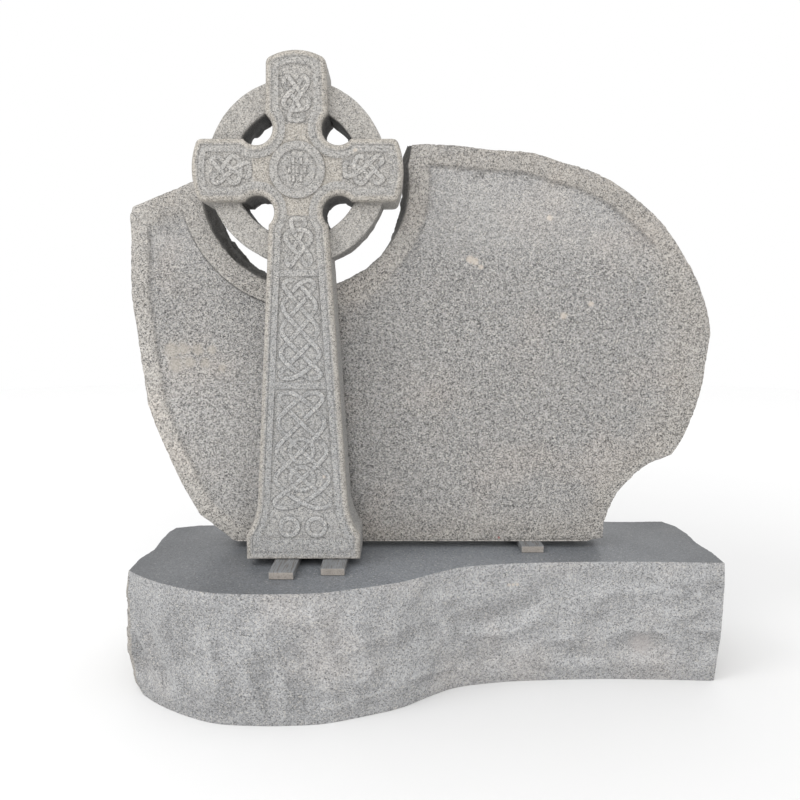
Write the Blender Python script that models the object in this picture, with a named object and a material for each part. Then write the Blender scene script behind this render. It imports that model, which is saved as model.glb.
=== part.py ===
"""Celtic cross headstone: a carved ring cross and a shaped tablet on a low base.

Four kinds of piece, each its own object: the base block, the tablet with its
half-round cut-out, the ring cross that stands in front of the cut-out, and
the three short wooden setting battens that the two upright stones rest on.

Metres, +Z up. The front looks along -Y. The origin is on the ground, below
the middle of the base.
"""
import math
import random

import bmesh
import bpy
import numpy as np
from mathutils import Vector
from mathutils.geometry import delaunay_2d_cdt

# Base block
BASE_LENGTH = 1.386
BASE_HEIGHT = 0.300
BASE_FRONT = -0.069
BASE_DEPTH = 0.339
BASE_LEFT_BACK_STEP = 0.035
LOBE_DEPTH = 0.200
BASE_UNDERCUT = 0.017
BASE_BULGE = 0.010
FRONT_ROUGHNESS = 0.0045

# Setting battens
BATTEN_WIDTH = 0.055
BATTEN_THICKNESS = 0.018
BATTEN_TAIL = 0.033
LEFT_BATTEN_OFFSET = -0.0375
LEFT_BATTEN_NOSE = 0.082
RIGHT_BATTEN_OFFSET = 0.0735
RIGHT_BATTEN_NOSE = 0.057
TABLET_BATTEN_RUN = 0.973
TABLET_BATTEN_NOSE = 0.038

# Gap between faces that rest on one another
SEAT_GAP = 0.0003

# Tablet
TABLET_FRONT = 0.032
TABLET_THICKNESS = 0.140
TABLET_HEIGHT = 0.962
TABLET_LEFT = -0.720
TABLET_WIDTH = 1.400
WHEEL_TO_NOTCH = 0.049
NOTCH_OFFSET = -0.003
NOTCH_CORNER_DROP = 0.047
NOTCH_CORNER_FLARE = 0.009
NOTCH_SIDES = 26
NOTCH_BAND = 0.047
NOTCH_BULGE = 0.013
TOP_BAND = 0.044
SIDE_BAND = 0.037
FOOT_BAND = 0.002
BAND_RELIEF = 0.006
BAND_RAMP = 0.008
ROCK_ROUGHNESS = 0.004

# Ring cross
CROSS_X = -0.2955
CROSS_THICKNESS = 0.124
TABLET_CLEARANCE = 0.013
BOSS_RISE = 0.8735
ARM_REACH = 0.231
ARM_HALF = 0.0665
ARM_END_BULGE = 0.0145
TOP_REACH = 0.2505
TOP_BULGE = 0.0185
TOP_HALF = 0.0645
NECK_SPREAD = 0.001
PIT_STANDOFF = 0.0225
PIT_RADIUS = 0.036
SHAFT_FOOT_HALF = 0.103
FLARE_RISE = 0.132
FLARE_FULLNESS = 0.005
PLINTH_HALF = 0.131
PLINTH_RISE = 0.054
EDGE_ROUND = 0.009
CORNER_ROUND = 0.010
LEAST_ROUND = 0.002

# Wheel
WHEEL_SHIFT = -0.004
WHEEL_OUTER = 0.200
WHEEL_INNER = 0.1416
WHEEL_RECESS = 0.0275
WHEEL_BACK_RECESS = 0.004
WHEEL_EDGE = 0.003
WHEEL_SIDES = 56

# Carving on the face of the cross; the two foot shares are how far its lines
# rise from the foot for each metre that they move inward
OUTER_BAND = 0.0145
INNER_BAND = 0.029
LINE_WIDTH = 0.0016
BAND_STEP = 0.0013
FIELD_STEP = 0.0027
FOOT_EDGE_SHARE = 0.35
FOOT_LINE_SHARE = 2.17
BOSS_OUTER = 0.060
BOSS_INNER = 0.0435
BOSS_STAND = 0.001
BOSS_DISH = 0.0028
BOSS_SIDES = 32
STROKE_WIDTH = 0.0080
STROKE_LENGTH = 0.0150
STROKE_PITCH = 0.0170
STROKE_ROW_PITCH = 0.0185
STROKE_RELIEF = 0.0018
STROKE_ROWS = (2, 3, 2)
KNOT_START = 0.098
DIVIDER_RISES = (0.652, 0.4025)
DIVIDER_BAND = 0.014
FOOT_PANEL_TOP = 0.112
FOOT_RING_RISE = 0.076
FOOT_RING_X = 0.031
FOOT_RING_RADIUS = 0.0205
SHAFT_RING_RADIUS = 0.027

# Ribbons of the knots
RIBBON_WIDTH = 0.0105
RIBBON_EDGE = 0.0014
RIBBON_LOW = 0.0014
RIBBON_HIGH = 0.0034
RIBBON_MARGIN = 0.0032
RIBBON_STEP = 0.0115
ARM_RIBBON_STEP = 0.0095
WAVE_SHARPNESS = 0.93
WEAVE_STEEPNESS = 1.6
LONG_PLAIT = (2, 5)
SHAFT_RING_TURNS = (0, 3)

# Middle line of an arm's knot, in shares of its run out from the boss and of its
# half-width: squared at the boss, a bulge at each side, two ears at the far end
ARM_KNOT = (
    (0.02, 0.74), (0.02, -0.74), (0.16, -0.62), (0.40, -0.10), (0.62, 0.44), (0.80, 0.90),
    (0.93, 0.92), (1.00, 0.64), (0.90, 0.36), (0.74, -0.08), (0.59, -0.60), (0.46, -0.98),
    (0.32, -0.92), (0.25, -0.50), (0.24, 0.00), (0.25, 0.50), (0.32, 0.92), (0.46, 0.98),
    (0.59, 0.60), (0.74, 0.08), (0.90, -0.36), (1.00, -0.64), (0.93, -0.92),
    (0.80, -0.90), (0.62, -0.44), (0.40, 0.10), (0.16, 0.62))

SEED = 7


def remove_all():
    """Start from an empty scene."""
    for item in list(bpy.data.objects):
        bpy.data.objects.remove(item, do_unlink=True)


def stone(name, colour, roughness):
    """A plain opaque material."""
    made = bpy.data.materials.new(name)
    made.use_nodes = True
    shader = made.node_tree.nodes["Principled BSDF"]
    shader.inputs["Base Color"].default_value = (*colour, 1.0)
    shader.inputs["Roughness"].default_value = roughness
    shader.inputs["Metallic"].default_value = 0.0
    return made


def new_object(name, points, faces, finish):
    """A closed mesh object with outward faces."""
    mesh = bpy.data.meshes.new(name)
    mesh.from_pydata([tuple(p) for p in points], [], faces)
    work = bmesh.new()
    work.from_mesh(mesh)
    bmesh.ops.recalc_face_normals(work, faces=work.faces)
    bmesh.ops.triangulate(work, faces=[f for f in work.faces if len(f.verts) > 4])
    work.to_mesh(mesh)
    work.free()
    mesh.materials.append(finish)
    made = bpy.data.objects.new(name, mesh)
    bpy.context.scene.collection.objects.link(made)
    return made


def arc(centre, radius, start, end, count):
    """Points on an arc, both ends included; angles in radians."""
    return [(centre[0] + radius * math.cos(start + (end - start) * k / count),
             centre[1] + radius * math.sin(start + (end - start) * k / count))
            for k in range(count + 1)]


def curve_through(points, steps):
    """A smooth open curve through the points, with even steps between them."""
    last = len(points) - 1
    result = []
    for i in range(last):
        a, b = points[max(i - 1, 0)], points[i]
        c, d = points[i + 1], points[min(i + 2, last)]
        for k in range(steps):
            t = k / steps
            result.append(tuple(
                0.5 * (2 * q + (r - p) * t + (2 * p - 5 * q + 4 * r - s) * t * t
                       + (3 * q - p - 3 * r + s) * t ** 3)
                for p, q, r, s in zip(a, b, c, d)))
    result.append(tuple(points[-1]))
    return result


def bezier(a, b, c, count):
    """Quadratic curve from a to c, without its first point."""
    result = []
    for k in range(1, count + 1):
        t = k / count
        u = 1 - t
        result.append((u * u * a[0] + 2 * u * t * b[0] + t * t * c[0],
                       u * u * a[1] + 2 * u * t * b[1] + t * t * c[1]))
    return result


def inset_loop(points, widths):
    """Move each edge of a counter-clockwise loop inward by its own width.

    widths holds one value for each edge, from point i to point i + 1.
    """
    count = len(points)
    result = []
    for i in range(count):
        before, here, after = points[i - 1], points[i], points[(i + 1) % count]
        w1, w2 = widths[i - 1], widths[i]
        d1 = Vector((here[0] - before[0], here[1] - before[1])).normalized()
        d2 = Vector((after[0] - here[0], after[1] - here[1])).normalized()
        n1, n2 = Vector((-d1.y, d1.x)), Vector((-d2.y, d2.x))
        turn = d1.x * d2.y - d1.y * d2.x
        if abs(turn) < 0.2:
            mean = (n1 + n2).normalized()
            move = mean * (0.5 * (w1 + w2) / max(mean.dot(n1), 0.5))
        else:
            move = (d1 * w2 - d2 * w1) / -turn
        result.append((here[0] + move.x, here[1] + move.y))
    return result


def loft(loops):
    """Points and faces of a closed body through loops of equal length."""
    points = [p for loop in loops for p in loop]
    count = len(loops[0])
    faces = [list(range(count))]
    for level in range(len(loops) - 1):
        low, high = level * count, (level + 1) * count
        for i in range(count):
            j = (i + 1) % count
            faces.append([low + i, low + j, high + j, high + i])
    faces.append(list(range((len(loops) - 1) * count, len(loops) * count)))
    return points, faces


def loop_normals(loop):
    """Outward unit normals of a counter-clockwise loop, at its points."""
    count = len(loop)
    result = []
    for i in range(count):
        before, after = loop[i - 1], loop[(i + 1) % count]
        along = Vector((after[0] - before[0], after[1] - before[1])).normalized()
        result.append((along.y, -along.x))
    return result


def swell(loop, amounts):
    """Move the points of a loop outward by the given amounts."""
    return [(p[0] + n[0] * a, p[1] + n[1] * a)
            for p, n, a in zip(loop, loop_normals(loop), amounts)]


def ramp(value, start, end):
    """0 before start, 1 after end, straight between."""
    return np.clip((value - start) / (end - start), 0.0, 1.0)


def distance_to_edge(points, start, end):
    """Distance from each point to a straight edge, and the share along it."""
    along = end - start
    share = np.clip(((points - start) @ along) / max(float(along @ along), 1e-16), 0, 1)
    gap = points - (start + share[:, None] * along)
    return np.hypot(gap[:, 0], gap[:, 1]), share


def distance_to_loop(points, loop):
    """Distance from each point to a closed line of straight pieces."""
    best = np.full(len(points), np.inf)
    for start, end in zip(loop, np.roll(loop, -1, axis=0)):
        best = np.minimum(best, distance_to_edge(points, start, end)[0])
    return best


def is_inside(points, loop):
    """Whether each point lies inside a closed line."""
    inside = np.zeros(len(points), dtype=bool)
    x, z = points[:, 0], points[:, 1]
    for (ax, az), (bx, bz) in zip(loop, loop[1:] + loop[:1]):
        if az == bz:
            continue
        spans = (az > z) != (bz > z)
        inside ^= spans & (x < ax + (z - az) * (bx - ax) / (bz - az))
    return inside


def relief_mesh(lines, relief_at):
    """Points (across, up), relief and triangles of a carved face, and its rim.

    The facets follow the closed lines, of which the first is the face's rim.
    """
    flat = [Vector(p) for line in lines for p in line]
    edges = []
    first = 0
    for line in lines:
        count = len(line)
        edges += [(first + i, first + (i + 1) % count) for i in range(count)]
        first += count
    rim_count = len(lines[0])
    found = delaunay_2d_cdt(flat, edges, [], 0, 1e-7, True)
    points, triangles, origins = found[0], found[2], found[3]
    rim = [-1] * rim_count
    for i, sources in enumerate(origins):
        for source in sources:
            if source < rim_count:
                rim[source] = i
    places = np.array([tuple(p) for p in points])
    middles = places[np.array(triangles)].mean(axis=1)
    kept = is_inside(middles, lines[0])
    triangles = [list(t) for t, keep in zip(triangles, kept) if keep]
    relief = relief_at(places)
    relief[rim] = 0.0
    return places, relief, triangles, rim


def close_behind(points, faces, rim, loops):
    """Walls from a face's rim through the loops behind it, and a back."""
    below = rim
    for loop in loops:
        first = len(points)
        points += loop
        current = list(range(first, len(points)))
        for i in range(len(loop)):
            j = (i + 1) % len(loop)
            faces.append([below[i], below[j], current[j], current[i]])
        below = current
    faces.append(below)


# Places that several pieces share

def stone_foot():
    """Height of the undersides of the cross and the tablet."""
    return BASE_HEIGHT + BATTEN_THICKNESS


def boss_height():
    """Height of the middle of the cross's boss, which the cut-out shares."""
    return stone_foot() + BOSS_RISE


def cross_front():
    """Front plane of the cross."""
    return TABLET_FRONT - TABLET_CLEARANCE - CROSS_THICKNESS


def pit_offset():
    """Distance of an armpit circle's middle from the cross's two middle lines."""
    return ARM_HALF + PIT_STANDOFF


def neck_half():
    """Half-width of the top arm where it leaves the armpits."""
    return ARM_HALF + NECK_SPREAD


def shaft_top_half():
    """Half-width of the shaft where it leaves the armpits."""
    return ARM_HALF - NECK_SPREAD


# The base block

def base_outline():
    """Top arris of the base, seen from above, counter-clockwise from the left."""
    left = -BASE_LENGTH / 2
    back = BASE_FRONT + BASE_DEPTH
    # Share of the length, and share of the lobe's depth in front of the line
    front_shares = ((0.050, 0.58), (0.109, 0.82), (0.162, 0.96), (0.225, 1.00),
                    (0.271, 1.00), (0.331, 0.96), (0.392, 0.82), (0.455, 0.635),
                    (0.511, 0.355), (0.554, 0.185), (0.614, 0.090),
                    (0.667, 0.045), (0.815, 0.000))
    front = [(left + s * BASE_LENGTH, BASE_FRONT - d * LOBE_DEPTH)
             for s, d in front_shares]
    corner_left = (left, BASE_FRONT - 0.29 * LOBE_DEPTH)
    corner_right = (left + BASE_LENGTH, BASE_FRONT - 0.045 * LOBE_DEPTH)
    curve = curve_through([corner_left] + front + [corner_right], 2)
    # Shares of the roughness outward, and of the depth behind the front line
    right = [(left + BASE_LENGTH + d * ROCK_ROUGHNESS, BASE_FRONT + s * BASE_DEPTH)
             for d, s in ((1.0, 0.20), (-0.75, 0.42), (1.25, 0.66), (0.25, 0.86))]
    rear = [(left + BASE_LENGTH * s, back - BASE_LEFT_BACK_STEP * d)
            for s, d in ((0.985, 0.0), (0.90, 0.1), (0.80, 0.0), (0.70, 0.25),
                         (0.60, 0.2), (0.50, 0.5), (0.40, 0.45), (0.30, 0.8),
                         (0.20, 0.7), (0.10, 1.0), (0.045, 1.1))]
    leftside = [(left - d * ROCK_ROUGHNESS, BASE_FRONT + s * BASE_DEPTH)
                for d, s in ((-0.75, 0.82), (0.75, 0.73), (0.5, 0.50), (-1.75, 0.27),
                             (1.0, 0.06))]
    return curve + right + rear + leftside, len(curve)


def make_base(finish):
    """The low block: crisp top arris, rock-pitched walls, flat underside."""
    dice = random.Random(SEED)
    outline, front_count = base_outline()
    # Height share, swelling share of the walls
    levels = ((0.0, -0.2), (0.10, 0.5), (0.36, 1.0), (0.62, 0.75), (0.86, 0.35),
              (1.0, 0.0))
    loops = []
    for share, bulge in levels:
        amounts = []
        for i in range(len(outline)):
            rough = dice.uniform(-1, 1) if 0.0 < share < 1.0 else 0.0
            # The front's ends turn into the bulging rock-pitched ends
            fronting = min(1.0, max(0.0, min(i, front_count - 1 - i) / 2))
            set_back = rough * FRONT_ROUGHNESS - BASE_UNDERCUT * (1 - share)
            pitched = rough * ROCK_ROUGHNESS + BASE_BULGE * bulge
            amounts.append(set_back * fronting + pitched * (1 - fronting))
        loops.append([(x, y, share * BASE_HEIGHT) for x, y in swell(outline, amounts)])
    return new_object("base", *loft(loops), finish)


# The setting battens

def make_batten(name, centre_x, front, finish):
    """A flat wooden strip lying on the base, from its front end to the back."""
    low = BASE_HEIGHT + SEAT_GAP
    high = BASE_HEIGHT + BATTEN_THICKNESS - SEAT_GAP
    back = TABLET_FRONT + TABLET_THICKNESS + BATTEN_TAIL
    half = BATTEN_WIDTH / 2
    plan = [(centre_x - half, front), (centre_x + half, front),
            (centre_x + half, back), (centre_x - half, back)]
    loops = [[(x, y, z) for x, y in plan] for z in (low, high)]
    return new_object(name, *loft(loops), finish)


def make_battens(finish):
    """Two strips under the cross and the tablet, one under the tablet's far end."""
    for name, x, front in (
            ("setting_batten_left", CROSS_X + LEFT_BATTEN_OFFSET,
             cross_front() - LEFT_BATTEN_NOSE),
            ("setting_batten_right", CROSS_X + RIGHT_BATTEN_OFFSET,
             cross_front() - RIGHT_BATTEN_NOSE),
            ("setting_batten_tablet", TABLET_LEFT + TABLET_BATTEN_RUN,
             TABLET_FRONT - TABLET_BATTEN_NOSE)):
        make_batten(name, x, front, finish)


# The tablet

def tablet_outline():
    """Front outline, counter-clockwise seen from the front, in named stretches.

    Returns the points, the width of the rough margin along each edge, and
    for each point whether it is rock-pitched and whether it is in the cut-out.
    """
    foot = stone_foot()
    far_right = TABLET_LEFT + TABLET_WIDTH
    boss = boss_height()
    radius = WHEEL_TO_NOTCH + WHEEL_OUTER
    corner_rise = 0.997
    shoulder_rise = 0.908
    start = math.asin((foot + corner_rise * TABLET_HEIGHT - NOTCH_CORNER_DROP - boss) / radius)
    end = -math.pi - math.asin((foot + shoulder_rise * TABLET_HEIGHT - boss) / radius)
    notch = arc((CROSS_X + NOTCH_OFFSET, boss), radius, start, end, NOTCH_SIDES)
    corner_x = notch[0][0] + NOTCH_CORNER_FLARE

    def between(low, high, points):
        return [(low + u * (high - low), foot + v * TABLET_HEIGHT) for u, v in points]

    def place(points):
        return between(TABLET_LEFT, far_right, points)

    # Shares of the width and of the height
    bottom = place(((0.172, 0.0), (0.40, 0.0), (0.60, 0.0), (0.795, 0.0)))
    chip = place(((0.803, 0.003), (0.825, 0.008)))
    scoop = place(((0.826, 0.048), (0.839, 0.101), (0.853, 0.136), (0.878, 0.175),
                   (0.904, 0.204), (0.941, 0.227)))
    right = curve_through(place(((0.954, 0.253), (0.970, 0.305), (0.987, 0.382),
                                 (0.998, 0.509), (1.000, 0.546), (0.990, 0.609),
                                 (0.968, 0.685), (0.941, 0.749))), 2)
    # Shares of the stretch from the cut-out's corner to the right end
    top = curve_through(between(corner_x, far_right, (
        (0.834, 0.802), (0.781, 0.841), (0.681, 0.899), (0.580, 0.937), (0.482, 0.958),
        (0.383, 0.980), (0.230, 0.989), (0.139, 0.996), (0.043, 0.9995))), 2)
    corner = between(corner_x, far_right, ((0.0, corner_rise),))
    # Shares of the stretch from the left end to the cut-out
    shoulder = between(TABLET_LEFT, notch[-1][0], ((0.877, shoulder_rise), (0.463, 0.877)))
    left = place(((0.0085, 0.851), (0.0028, 0.829), (0.0048, 0.781), (0.0020, 0.705),
                  (0.0005, 0.633), (0.008, 0.534), (0.0156, 0.433), (0.022, 0.356),
                  (0.033, 0.305), (0.054, 0.227), (0.077, 0.149), (0.107, 0.069),
                  (0.163, 0.003)))
    stretches = ((bottom, FOOT_BAND, 0, 0), (chip + scoop, SIDE_BAND, 1, 0),
                 (right, SIDE_BAND, 1, 0), (top, TOP_BAND, 1, 0),
                 (corner + notch[:-1], NOTCH_BAND, 1, 1),
                 (notch[-1:] + shoulder, TOP_BAND, 1, 0), (left, SIDE_BAND, 1, 0))
    points, widths, rock, cut = [], [], [], []
    for stretch, band, is_rock, is_cut in stretches:
        points += stretch
        widths += [band] * len(stretch)
        rock += [is_rock] * len(stretch)
        cut += [is_cut] * len(stretch)
    return points, widths, rock, cut


def margin_line(outline, widths):
    """Line inside the outline at each edge's own distance, without false loops."""
    moved = inset_loop(outline, widths)
    gaps = distance_to_loop(np.array(moved), np.array(outline))
    return [point for i, (point, gap) in enumerate(zip(moved, gaps))
            if gap > 0.75 * min(widths[i - 1], widths[i])]


def tablet_relief(points, outline, widths):
    """Depth of the sunk face: none on the margin, full inside its ramp."""
    margin = np.full(len(points), np.inf)
    outline = np.array(outline)
    for start, end, width in zip(outline, np.roll(outline, -1, axis=0), widths):
        margin = np.minimum(margin, distance_to_edge(points, start, end)[0] - width)
    return -BAND_RELIEF * ramp(margin, 0.0, BAND_RAMP)


def make_tablet(finish):
    """The tablet: sunk face inside a rough margin, rock-pitched edges."""
    dice = random.Random(SEED + 1)
    outline, widths, rock, cut = tablet_outline()
    arris = swell(outline, [-0.5 * ROCK_ROUGHNESS * is_rock for is_rock in rock])
    lines = [arris] + [margin_line(outline, [w + extra for w in widths])
                       for extra in (0.0, BAND_RAMP)]
    places, relief, faces, rim = relief_mesh(
        lines, lambda points: tablet_relief(points, outline, widths))
    front = TABLET_FRONT
    points = [(x, front - h, z) for (x, z), h in zip(places, relief)]
    loops = []
    # Depth share of each loop behind the face, and share of the swelling
    for share, bulge in ((0.04, 0.0), (0.28, 0.6), (0.60, 1.0), (0.90, 0.6),
                         (1.0, -0.4)):
        amounts = []
        for is_rock, is_cut in zip(rock, cut):
            swelling = bulge * (NOTCH_BULGE if is_cut else ROCK_ROUGHNESS)
            chip = dice.uniform(-1, 1) * ROCK_ROUGHNESS * min(1.0, 4 * share)
            amounts.append(is_rock * (swelling + chip))
        loops.append([(x, front + share * TABLET_THICKNESS, max(z, stone_foot()))
                      for x, z in swell(outline, amounts)])
    close_behind(points, faces, rim, loops)
    return new_object("tablet", points, faces, finish)


# The cross: outline

def fillet(corner, before, after, radius):
    """Three points that round a corner."""
    to_before = Vector((before[0] - corner[0], before[1] - corner[1])).normalized()
    to_after = Vector((after[0] - corner[0], after[1] - corner[1])).normalized()
    start = (corner[0] + to_before.x * radius, corner[1] + to_before.y * radius)
    end = (corner[0] + to_after.x * radius, corner[1] + to_after.y * radius)
    return [start] + bezier(start, corner, end, 2)


def foot_line(inset):
    """Height above the foot at which an inset line crosses the plinth."""
    return (FOOT_EDGE_SHARE * min(inset, EDGE_ROUND)
            + FOOT_LINE_SHARE * max(inset - EDGE_ROUND, 0.0))


def cross_half(inset):
    """Right half of the cross's outline moved inward by inset, bottom to top.

    Heights are above the foot of the cross, widths from its middle line.
    """
    middle = BOSS_RISE
    arm = ARM_HALF - inset
    pit = PIT_RADIUS + inset
    shaft_top = shaft_top_half() - inset
    neck = neck_half() - inset
    rounding = max(CORNER_ROUND - inset, LEAST_ROUND)
    low = foot_line(inset)
    plinth_top = max(PLINTH_RISE, low + LEAST_ROUND)
    turn_height = (plinth_top + FLARE_RISE) / 2 - FLARE_FULLNESS
    points = [(PLINTH_HALF - inset, low), (PLINTH_HALF - inset, plinth_top)]
    points += bezier(points[-1], (SHAFT_FOOT_HALF + FLARE_FULLNESS - inset, turn_height),
                     (SHAFT_FOOT_HALF - inset, FLARE_RISE), 4)

    drop = math.sqrt(pit ** 2 - (pit_offset() - shaft_top) ** 2)
    run = math.sqrt(pit ** 2 - (pit_offset() - arm) ** 2)
    start = math.atan2(-drop, shaft_top - pit_offset())
    end = math.atan2(pit_offset() - arm, run)
    points += arc((pit_offset(), middle - pit_offset()), pit, start + math.tau, end, 8)

    end_radius = (ARM_HALF ** 2 + ARM_END_BULGE ** 2) / (2 * ARM_END_BULGE)
    end_centre = ARM_REACH - end_radius
    reach = end_radius - inset
    tip_angle = math.asin(arm / reach)
    tip = arc((end_centre, middle), reach, -tip_angle, tip_angle, 6)
    points += fillet(tip[0], points[-1], tip[1], rounding)
    points += tip[2:-2]
    points += fillet(tip[-1], tip[-2], (0.0, tip[-1][1]), rounding)

    climb = math.sqrt(pit ** 2 - (pit_offset() - neck) ** 2)
    start = math.atan2(arm - pit_offset(), run)
    end = math.atan2(climb, neck - pit_offset())
    points += arc((pit_offset(), middle + pit_offset()), pit, start, end - math.tau, 8)

    top_radius = (TOP_HALF ** 2 + TOP_BULGE ** 2) / (2 * TOP_BULGE)
    top_centre = middle + TOP_REACH - top_radius
    half = TOP_HALF - inset
    angle = math.asin(half / (top_radius - inset))
    crown = arc((0.0, top_centre), top_radius - inset, math.pi / 2 - angle, math.pi / 2, 4)
    points += fillet(crown[0], points[-1], crown[1], rounding)
    points += crown[2:-1]
    return points, crown[-1]


def cross_outline(inset):
    """Whole outline, counter-clockwise seen from the front."""
    half, top = cross_half(inset)
    return half + [top] + [(-x, z) for x, z in reversed(half)]


# The cross: knots

def field_half(height):
    """Half-width of the shaft's sunk field at a height above the foot."""
    shaft_height = BOSS_RISE - pit_offset() - PIT_RADIUS - FLARE_RISE
    share = (height - FLARE_RISE) / shaft_height
    half = SHAFT_FOOT_HALF + (shaft_top_half() - SHAFT_FOOT_HALF) * share
    return half - INNER_BAND - LINE_WIDTH / 2


def ribbon_clearance():
    """Distance kept between a ribbon's middle line and the field's edge."""
    return RIBBON_WIDTH / 2 + RIBBON_MARGIN


def wave(angle):
    """A sine pulled towards straight runs between rounded turns."""
    return math.asin(WAVE_SHARPNESS * math.sin(angle)) / math.asin(WAVE_SHARPNESS)


def plait(lobes, place):
    """A closed woven line; place maps shares along and across to the face.

    lobes counts the bends that touch an end of the panel and a side of it.
    """
    at_ends, at_sides = lobes
    count = 16 * (at_ends + at_sides)
    return [place(0.5 + 0.5 * wave(math.tau * at_ends * k / count),
                  wave(math.tau * at_sides * k / count))
            for k in range(count)]


def closed_curve(points, steps):
    """A smooth closed curve through the points, with even steps between them."""
    around = points[-1:] + points + points[:2]
    return curve_through(around, steps)[steps:-steps - 1]


def arm_panel(reach, full_half):
    """Place of an arm's knot shares on the face, narrow at the boss."""
    near = KNOT_START + RIBBON_WIDTH / 2
    far = reach - INNER_BAND - ribbon_clearance()
    clear_pit = PIT_RADIUS + INNER_BAND + ribbon_clearance()
    full = full_half - INNER_BAND - ribbon_clearance()

    def place(along, across):
        out = near + (far - near) * along
        beside = abs(out - pit_offset())
        half = full
        if beside < clear_pit:
            half = min(full, pit_offset() - math.sqrt(clear_pit ** 2 - beside ** 2))
        return out, half * across
    return place


def shaft_panel(low, high):
    """Place of a shaft panel's plait shares on the face."""
    bottom = low + ribbon_clearance()
    top = high - ribbon_clearance()

    def place(along, across):
        height = bottom + (top - bottom) * along
        return (field_half(height) - ribbon_clearance()) * across, height
    return place


def knot_curves():
    """Middle lines of all the ribbons on the face, each a closed line."""
    arm = arm_panel(ARM_REACH - ARM_END_BULGE / 2, ARM_HALF)
    top = arm_panel(TOP_REACH - TOP_BULGE, TOP_HALF)
    upper, lower = DIVIDER_RISES
    down = arm_panel(BOSS_RISE - upper - DIVIDER_BAND / 2 + INNER_BAND, shaft_top_half())

    def knot(panel):
        return closed_curve([panel(along, across) for along, across in ARM_KNOT], 4)

    knots = [[(side * x, BOSS_RISE + side * z) for x, z in knot(arm)] for side in (-1, 1)]
    knots.append([(x, BOSS_RISE + z) for z, x in knot(top)])
    knots.append([(x, BOSS_RISE - z) for z, x in knot(down)])
    middle = shaft_panel(lower + DIVIDER_BAND / 2, upper - DIVIDER_BAND / 2)
    curves = [plait(LONG_PLAIT, middle)]
    bottom = shaft_panel(FOOT_PANEL_TOP, lower - DIVIDER_BAND / 2)
    curves.append(plait(LONG_PLAIT, bottom))
    # The rings lie round two of the plait's crossings on the middle line
    for turn in SHAFT_RING_TURNS:
        along = 0.5 + 0.5 * wave(math.tau * turn / LONG_PLAIT[1])
        curves.append(arc(bottom(along, 0.0), SHAFT_RING_RADIUS, 0.0, math.tau, 24)[:-1])
    for side in (-1, 1):
        centre = (side * FOOT_RING_X, FOOT_RING_RISE)
        curves.append(arc(centre, FOOT_RING_RADIUS, 0.0, math.tau, 16)[:-1])
    return ([even_steps(line, ARM_RIBBON_STEP) for line in knots]
            + [even_steps(line, RIBBON_STEP) for line in curves])


def even_steps(line, step):
    """The closed line again, with points a nearly even step apart."""
    points = np.array(line + line[:1])
    gaps = np.hypot(*np.diff(points, axis=0).T)
    reached = np.concatenate([[0.0], np.cumsum(gaps)])
    count = max(8, round(reached[-1] / step))
    where = np.arange(count) * reached[-1] / count
    return np.column_stack([np.interp(where, reached, points[:, k]) for k in (0, 1)])


def crossings(curves):
    """Where the ribbons cross: (curve, place along, curve, place along)."""
    found = []
    for a, one in enumerate(curves):
        for b in range(a, len(curves)):
            other = curves[b]
            for i in range(len(one)):
                p, r = one[i], one[(i + 1) % len(one)] - one[i]
                first = i + 2 if a == b else 0
                for j in range(first, len(other)):
                    if a == b and i == 0 and j == len(other) - 1:
                        continue
                    q, s = other[j], other[(j + 1) % len(other)] - other[j]
                    area = r[0] * s[1] - r[1] * s[0]
                    if abs(area) < 1e-12:
                        continue
                    t = ((q[0] - p[0]) * s[1] - (q[1] - p[1]) * s[0]) / area
                    u = ((q[0] - p[0]) * r[1] - (q[1] - p[1]) * r[0]) / area
                    if 0 <= t < 1 and 0 <= u < 1:
                        found.append((a, i + t, b, j + u))
    return found


def weave_heights(curves):
    """Relief of each ribbon's top at its points: over one, under the next."""
    passes = [[] for _ in curves]
    for number, (a, s, b, t) in enumerate(crossings(curves)):
        passes[a].append((s, number))
        passes[b].append((t, number))
    levels = {}
    heights = []
    for line, found in zip(curves, passes):
        found.sort()
        start = 1
        for turn, (_, number) in enumerate(found):
            if number in levels:
                start = -levels[number] * (-1) ** turn
                break
        own = [start * (-1) ** turn for turn in range(len(found))]
        for (_, number), level in zip(found, own):
            levels.setdefault(number, level)
        count = len(line)
        if not found:
            heights.append(np.full(count, RIBBON_HIGH))
            continue
        stations = [found[-1][0] - count] + [where for where, _ in found]
        stations.append(found[0][0] + count)
        level = np.interp(np.arange(count), stations, own[-1:] + own + own[:1])
        share = (np.clip(WEAVE_STEEPNESS * level, -1, 1) + 1) / 2
        heights.append(RIBBON_LOW + (RIBBON_HIGH - RIBBON_LOW) * share)
    return heights


# The cross: height of the face

def inset_of(points):
    """How far inside the outline each point lies, as the inset lines count it."""
    # The bottom edge is lowered out of reach, because the foot has its own rule
    outline = np.array([(x, z if z > 0.0 else -1.0) for x, z in cross_outline(0.0)])
    depth = distance_to_loop(points, outline)
    edge_rise = foot_line(EDGE_ROUND)
    rise = points[:, 1]
    foot = np.where(rise < edge_rise, rise / FOOT_EDGE_SHARE,
                    EDGE_ROUND + (rise - edge_rise) / FOOT_LINE_SHARE)
    return np.minimum(depth, foot)


def stroke_centres():
    """Middles of the shallow upright strokes in rows inside the boss."""
    rows = len(STROKE_ROWS)
    centres = []
    for row, count in enumerate(STROKE_ROWS):
        height = BOSS_RISE + (row - (rows - 1) / 2) * STROKE_ROW_PITCH
        for k in range(count):
            centres.append(((k - (count - 1) / 2) * STROKE_PITCH, height))
    return centres


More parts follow.
